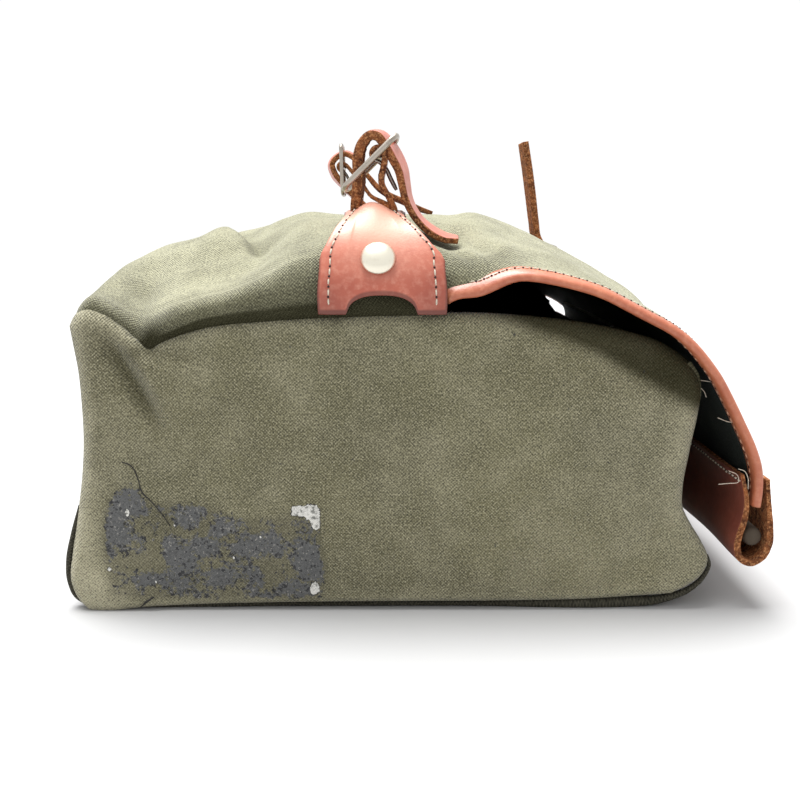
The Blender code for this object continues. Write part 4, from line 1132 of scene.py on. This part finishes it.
def patch(side, name):
    columns, rows = 90, 110
    v = np.linspace(0, 1, rows)
    rise = hermite(np.arange(10) / 9, PATCH_RISE, v)
    arc_length = chord(rise)
    narrowed = np.interp(v, (0, 0.27, 0.31, 0.36, 0.44, 0.52, 0.58, 1),
                         (0, 0.02, 0.12, 0.36, 0.64, 0.86, 0.97, 1))
    half = 24.2 + (11.6 - 24.2) * narrowed + 1.2 * ramp(v, 0.75, 1.0)
    half = half + 0.35 * np.sin(v * 19)
    middle = -14.0 - 3.5 * narrowed
    u = np.linspace(-1, 1, columns)
    x = middle[None] + half[None] * u[:, None]
    arch_x = (x[:, 0] + 14.2) / 13.2
    arch = np.where(np.abs(arch_x) < 1, 7.2 * np.sqrt(np.clip(1 - np.abs(arch_x) ** 2.6, 0, 1)), 0.0)
    grid = np.zeros((columns, rows, 3))
    for i in range(columns):
        start = arch[i]
        length = start + (arc_length[-1] - start) * v
        at = hermite(arc_length, rise, length)
        width_at = hermite(arc_length, np.stack([half, middle], -1), length)
        grid[i, :, 0] = width_at[:, 1] + width_at[:, 0] * u[i]
        grid[i, :, 1] = side * (END - at[:, 0])
        grid[i, :, 2] = at[:, 1]
    n = normals_of(grid)
    if n[columns // 2, 10, 1] * side < 0:
        n = -n
    across = np.abs((grid[..., 0] - middle[None]) / half[None])
    z = grid[..., 2]
    press = 0.9 * np.exp(-(((grid[..., 0] + 15.6) / 8.5) ** 2 + ((z - 139) / 8) ** 2))
    hump = 4.6 * np.exp(-((grid[..., 0] + 18.5) / 7.5) ** 2) * np.exp(-((v[None] - 0.50) / 0.13) ** 2)
    outer = grid + n * (2.35 - press + hump - 0.9 * ramp(across, 0.86, 1.0)
                        + 0.35 * ripples(grid, 22, 40 + side))[..., None]
    # dark rolled edges and painted shade along the bottom rows
    shade_and_dark_edges = 0.9 * ramp(across, 0.955, 1.0) + 0.75 * (np.arange(rows)[None] < 3)
    # painted highlight on the upper patch
    fade_and_highlight = 0.75 * ramp(z, 139, 150) * (1 - 0.25 * across) + 0.45 * ramp(z, 127, 139) * (1 - 0.8 * across)
    # painted shade on the lower patch
    shade_and_dark_edges = shade_and_dark_edges + 0.50 * (1 - ramp(z, 117, 136)) * ramp(across, 0.1, 0.95)
    shell("patch_leather_" + name, outer, PATCH_THICK, [LEATHER, RAW, LEATHER_CUT], "bag",
          ["end_patch_" + name], values={"shade_and_dark_edges": np.clip(shade_and_dark_edges, 0, 1), "fade_and_highlight": np.clip(fade_and_highlight, 0, 1)},
          flip=bool((normals_of(outer)[columns // 2, 10, 1] * side) < 0))
    for tag, sign in (("left", -1), ("right", 1)):
        line, normal = [], []
        for j in range(4, 74):
            want = middle[j] + sign * (half[j] - 4.2)
            i = int(np.argmin(np.abs(outer[:, j, 0] - want)))
            line.append(outer[i, j] + n[i, j] * 0.02)
            line[-1][0] = want
            normal.append(n[i, j])
        seam(f"patch_stitches_{tag}_{name}", np.array(line), np.array(normal), "bag", pitch=3.6, length=2.4,
             radius=0.33)


def turned(name, profile, centre, axis, look, body, replaced=(), steps=40):
    axis = np.asarray(axis, float) / np.linalg.norm(axis)
    a = np.cross(axis, (1.0, 0.0, 0.0))
    a /= np.linalg.norm(a)
    b = np.cross(axis, a)
    angle = np.arange(steps) * 2 * math.pi / steps
    points = []
    for r, h in profile:
        for t in angle:
            points.append(np.asarray(centre) + axis * h + (a * math.cos(t) + b * math.sin(t)) * max(r,
                                                                                                    0.001))
    rows = len(profile)
    faces = quads(rows, steps, wrap=True)
    faces += [list(range(steps)), [(rows - 1) * steps + j for j in range(steps)][::-1]]
    return put(name, np.array(points), faces, look, body, replaced, tidy_normals=True)


def rivet(side, name):
    place = (-15.6, side * (END + 0.7), 139.0)
    cap = [(0.01, 3.3), (1.5, 3.24), (3.0, 3.0), (4.4, 2.5), (5.6, 1.75), (6.3, 1.0), (6.6, 0.45),
           (6.55, 0.1),
           (6.3, -0.05), (1.6, -0.05), (1.6, -11.5), (0.01, -11.5)]
    turned("rivet_cap_" + name, cap, place, (0, side, 0.55), NICKEL, "bag", ["end_rivet_" + name])


for side, name in ENDS:
    patch(side, name)
    rivet(side, name)


# ---------------------------------------------------------------- front band

BAND_PATH = [(135.6, 53.5), (136.2, 48), (137.2, 41), (138.2, 34), (138.3, 27.6), (135.6, 21.6),
             (131.2, 19.4),
             (127.0, 21.4), (125.4, 26), (126.0, 31.4), (127.6, 37), (128.4, 42), (128.2, 47), (127.4, 51),
             (126.2, 55.5)]


def band():
    count = 120
    path = along(BAND_PATH, count)
    rows = np.concatenate([np.linspace(-END, -150, 26)[:-1], np.linspace(-150, 150, 70),
                           np.linspace(150, END, 26)[1:]])
    grid = np.zeros((count, len(rows), 3))
    grid[..., 0] = path[:, 0][:, None] - 3.5 * np.exp(-(rows / 55) ** 2)[None]
    grid[..., 1] = rows[None]
    grid[..., 2] = path[:, 1][:, None]
    n = normals_of(grid)
    if n[10, 40, 0] < 0:
        n = -n
    outer = grid + n * (1.15 + 0.35 * ripples(grid, 60, 51) * ramp(END - np.abs(grid[..., 1]), 0, 20))[...,
                                                                                                       None]
    share = np.linspace(0, 1, count)[:, None] * np.ones((1, len(rows)))
    # painted shade at the band's two ends
    shade_and_dark_edges = 0.7 * np.exp(-np.minimum(share, 1 - share) / 0.012)
    outer[..., 1] += 0.25 * rough(outer, 2.0, 9) * (END - np.abs(outer[..., 1]) < 0.3)
    thick = (1.5 + 1.1 * ramp(np.minimum(share, 1 - share), 0.04, 0.30))[..., :1, None]
    shell("front_band_leather", outer, thick, [LEATHER_DEEP, RAW, RAW], "flap",
          ["flap_front_band"],
          values={"shade_and_dark_edges": shade_and_dark_edges}, flip=bool(normals_of(outer)[10, 40, 0] < 0))
    turned("flap_hem_roll", [(0.01, 0.0), (2.8, 0.3), (3.6, 1.2), (3.8, 3), (3.8, 327), (0.01, 327)],
           (132.2, -END + 1.6, 29.6), (0, 1, 0), CANVAS_HEM_SHADED, "flap")
    for tag, index in (("upper", 4), ("lower", -5)):
        line = outer[index, 2:-2] + n[index, 2:-2] * 0.03
        seam(f"band_stitches_{tag}", line, n[index, 2:-2], "flap", pitch=3.6, length=2.5, radius=0.4)


band()


# ---------------------------------------------------------------- closure strap

def closure():
    rear, front = (49.4, 146.6), (74.8, 136.6)
    buckle("closure_frame", rear, front, -13.4, 13.4, None, "flap", ["closure_buckle"])
    middle = sheet_grid.shape[1] // 2
    run, out = sheet_grid[:, middle], sheet_normal[:, middle]
    keep = (run[:, 0] > 76) & (run[:, 2] > 76)
    over = (run + out * 2.8)[keep][::12]
    tail = [(57.6, 193.5), (60.0, 179.5), (62.2, 165.0), (63.9, 153.0), (65.6, 144.0), (69.8, 138.2)]
    end = [(130.2, 71.0), (134.9, 66.0), (137.4, 60.0), (138.1, 53.0), (138.2, 45.0), (138.2, 37.0),
           (138.1, 29.0)]
    path = tail + [(p[0], p[2]) for p in over] + end
    strap("closure_leather", path, -10, 10, CLOSURE_THICK, "flap", ["closure_strap"],
          twist=(2, 1, 0, 0, 0, 0, 0, 0, 0),
          seed=6, taper=(0.80, 0.97, 1, 1, 1, 1, 1, 1, 1, 1), rough_edge=0.34)
    tip = (front[0] * 1.05 - rear[0] * 0.05 + 0.9, front[1] * 1.05 - rear[1] * 0.05 + 2.7)
    prong("closure_pin", rear, tip, 0.0, "prong_closure", ["closure_prong"])
    bend = WIRE * 0.9 + 0.3 + 1.0
    under, above = 1.2, 3.2
    lower = [(36.4, 148.6 + under), (40.0, 146.9 + under), (44.0, 145.1 + under)]
    upper = [(44.6, 145.4 + above + 0.6), (41.0, 146.5 + above + 0.3), (37.4, 148.2 + above)]
    fold = [(rear[0] + bend * math.cos(math.radians(a)), rear[1] + bend * math.sin(math.radians(a)))
            for a in (-110, -65, -20, 25, 70)]
    strap("closure_chape_leather", lower + fold + upper, -10, 10, CHAPE_THICK, "flap", ["closure_chape"],
          seed=8,
          looks=[RAW, LEATHER], rough_edge=0.2)


closure()


# ---------------------------------------------------------------- loose threads and scratches

def wisps():
    threads = [
        [(109.4, -157, 91.6), (113.4, -157, 91.0), (117.6, -156, 89.8)],
        [(110.4, -157, 88.4), (111.8, -157, 86.8), (112.6, -157, 84.8)],
        [(116.2, -161, 77.4), (120.4, -161, 75.8), (124.6, -160, 75.2)],
        [(117.2, -163.4, 51.3), (121.0, -163.8, 51.8), (124.8, -164.2, 52.6), (124.4, -163.6, 55.0),
         (121.4, -162, 56.4)],
        [(124.2, -164.6, 57.8), (126.6, -164.8, 57.0), (128.0, -164.9, 54.6), (128.4, -165.0, 49.8)],
    ]
    for i, points in enumerate(threads):
        tube(f"loose_thread_{i + 1}", points, 0.14, THREAD, "flap", sides=6, spacing=0.6)
    scratch = [(-115.3, 60.7), (-111.9, 59.1), (-109.4, 53.5), (-108.1, 48.6), (-105.1, 45.4),
               (-101.4, 40.6),
               (-97.7, 34.9)]
    cut = [(-110.7, 1.4), (-108.2, 3.8), (-104.9, 5.9)]
    flat = near_grid.reshape(-1, 3)
    for tag, line, radius in (("scratch", scratch, [0.18, 0.26, 0.22, 0.3, 0.2, 0.24, 0.12]),
                              ("cut", cut, [0.2, 0.45, 0.2])):
        placed = []
        for x, z in line:
            i = int(np.argmin((flat[:, 0] - x) ** 2 + (flat[:, 2] - z) ** 2))
            placed.append((x, flat[i, 1] - 0.08, z))
        tube("dark_fibre_" + tag, placed, radius, THREAD_DARK, "bag", sides=6, spacing=0.5)


wisps()

# ---------------------------------------------------------------- floor, light and camera

floor_mesh = bpy.data.meshes.new("floor")
floor_mesh.from_pydata([(-6, -6, 0), (6, -6, 0), (6, 6, 0), (-6, 6, 0)], [], [(0, 1, 2, 3)])
floor = bpy.data.objects.new("floor", floor_mesh)
bpy.context.scene.collection.objects.link(floor)
floor_look, floor_shader = blank("floor_pale")
floor_shader.inputs["Base Color"].default_value = (0.44, 0.44, 0.44, 1)
floor_shader.inputs["Roughness"].default_value = 0.9
floor_shader.inputs["Specular IOR Level"].default_value = 0.1
floor_mesh.materials.append(floor_look)

world = bpy.data.worlds.new("studio")
bpy.context.scene.world = world
world.use_nodes = True
world.node_tree.nodes["Background"].inputs[0].default_value = (1, 1, 1, 1)
world.node_tree.nodes["Background"].inputs[1].default_value = 1.02


def area_light(name, place, target, size, power):
    data = bpy.data.lights.new(name, "AREA")
    data.shape = "RECTANGLE"
    data.size, data.size_y = size
    data.energy = power
    obj = bpy.data.objects.new(name, data)
    obj.location = place
    obj.rotation_euler = (Vector(target) - Vector(place)).to_track_quat("-Z", "Y").to_euler()
    bpy.context.scene.collection.objects.link(obj)


area_light("overhead", (-0.15, 0.35, 1.3), (0, 0, 0.08), (1.0, 0.8), 6)
sun_data = bpy.data.lights.new("soft_sun", "SUN")
sun_data.energy = 5.6
sun_data.angle = math.radians(38)
sun = bpy.data.objects.new("soft_sun", sun_data)
sun.rotation_euler = (Vector((0, 0, 0)) - Vector((-0.16, 0.17, 1.0))).to_track_quat("-Z", "Y").to_euler()
bpy.context.scene.collection.objects.link(sun)

camera_data = bpy.data.cameras.new("camera")
camera_data.lens = 45
camera_data.sensor_width = 36
camera_data.clip_start = 0.01
camera = bpy.data.objects.new("camera", camera_data)
camera.location = (-0.0074, NEAR_END_AT - CAMERA_AWAY, 0.1524)
camera.rotation_euler = (math.radians(90) - math.atan(CAMERA_DIP), 0, 0)
bpy.context.scene.collection.objects.link(camera)
bpy.context.scene.camera = camera
bpy.context.scene.view_settings.view_transform = "Standard"

bpy.context.view_layer.update()
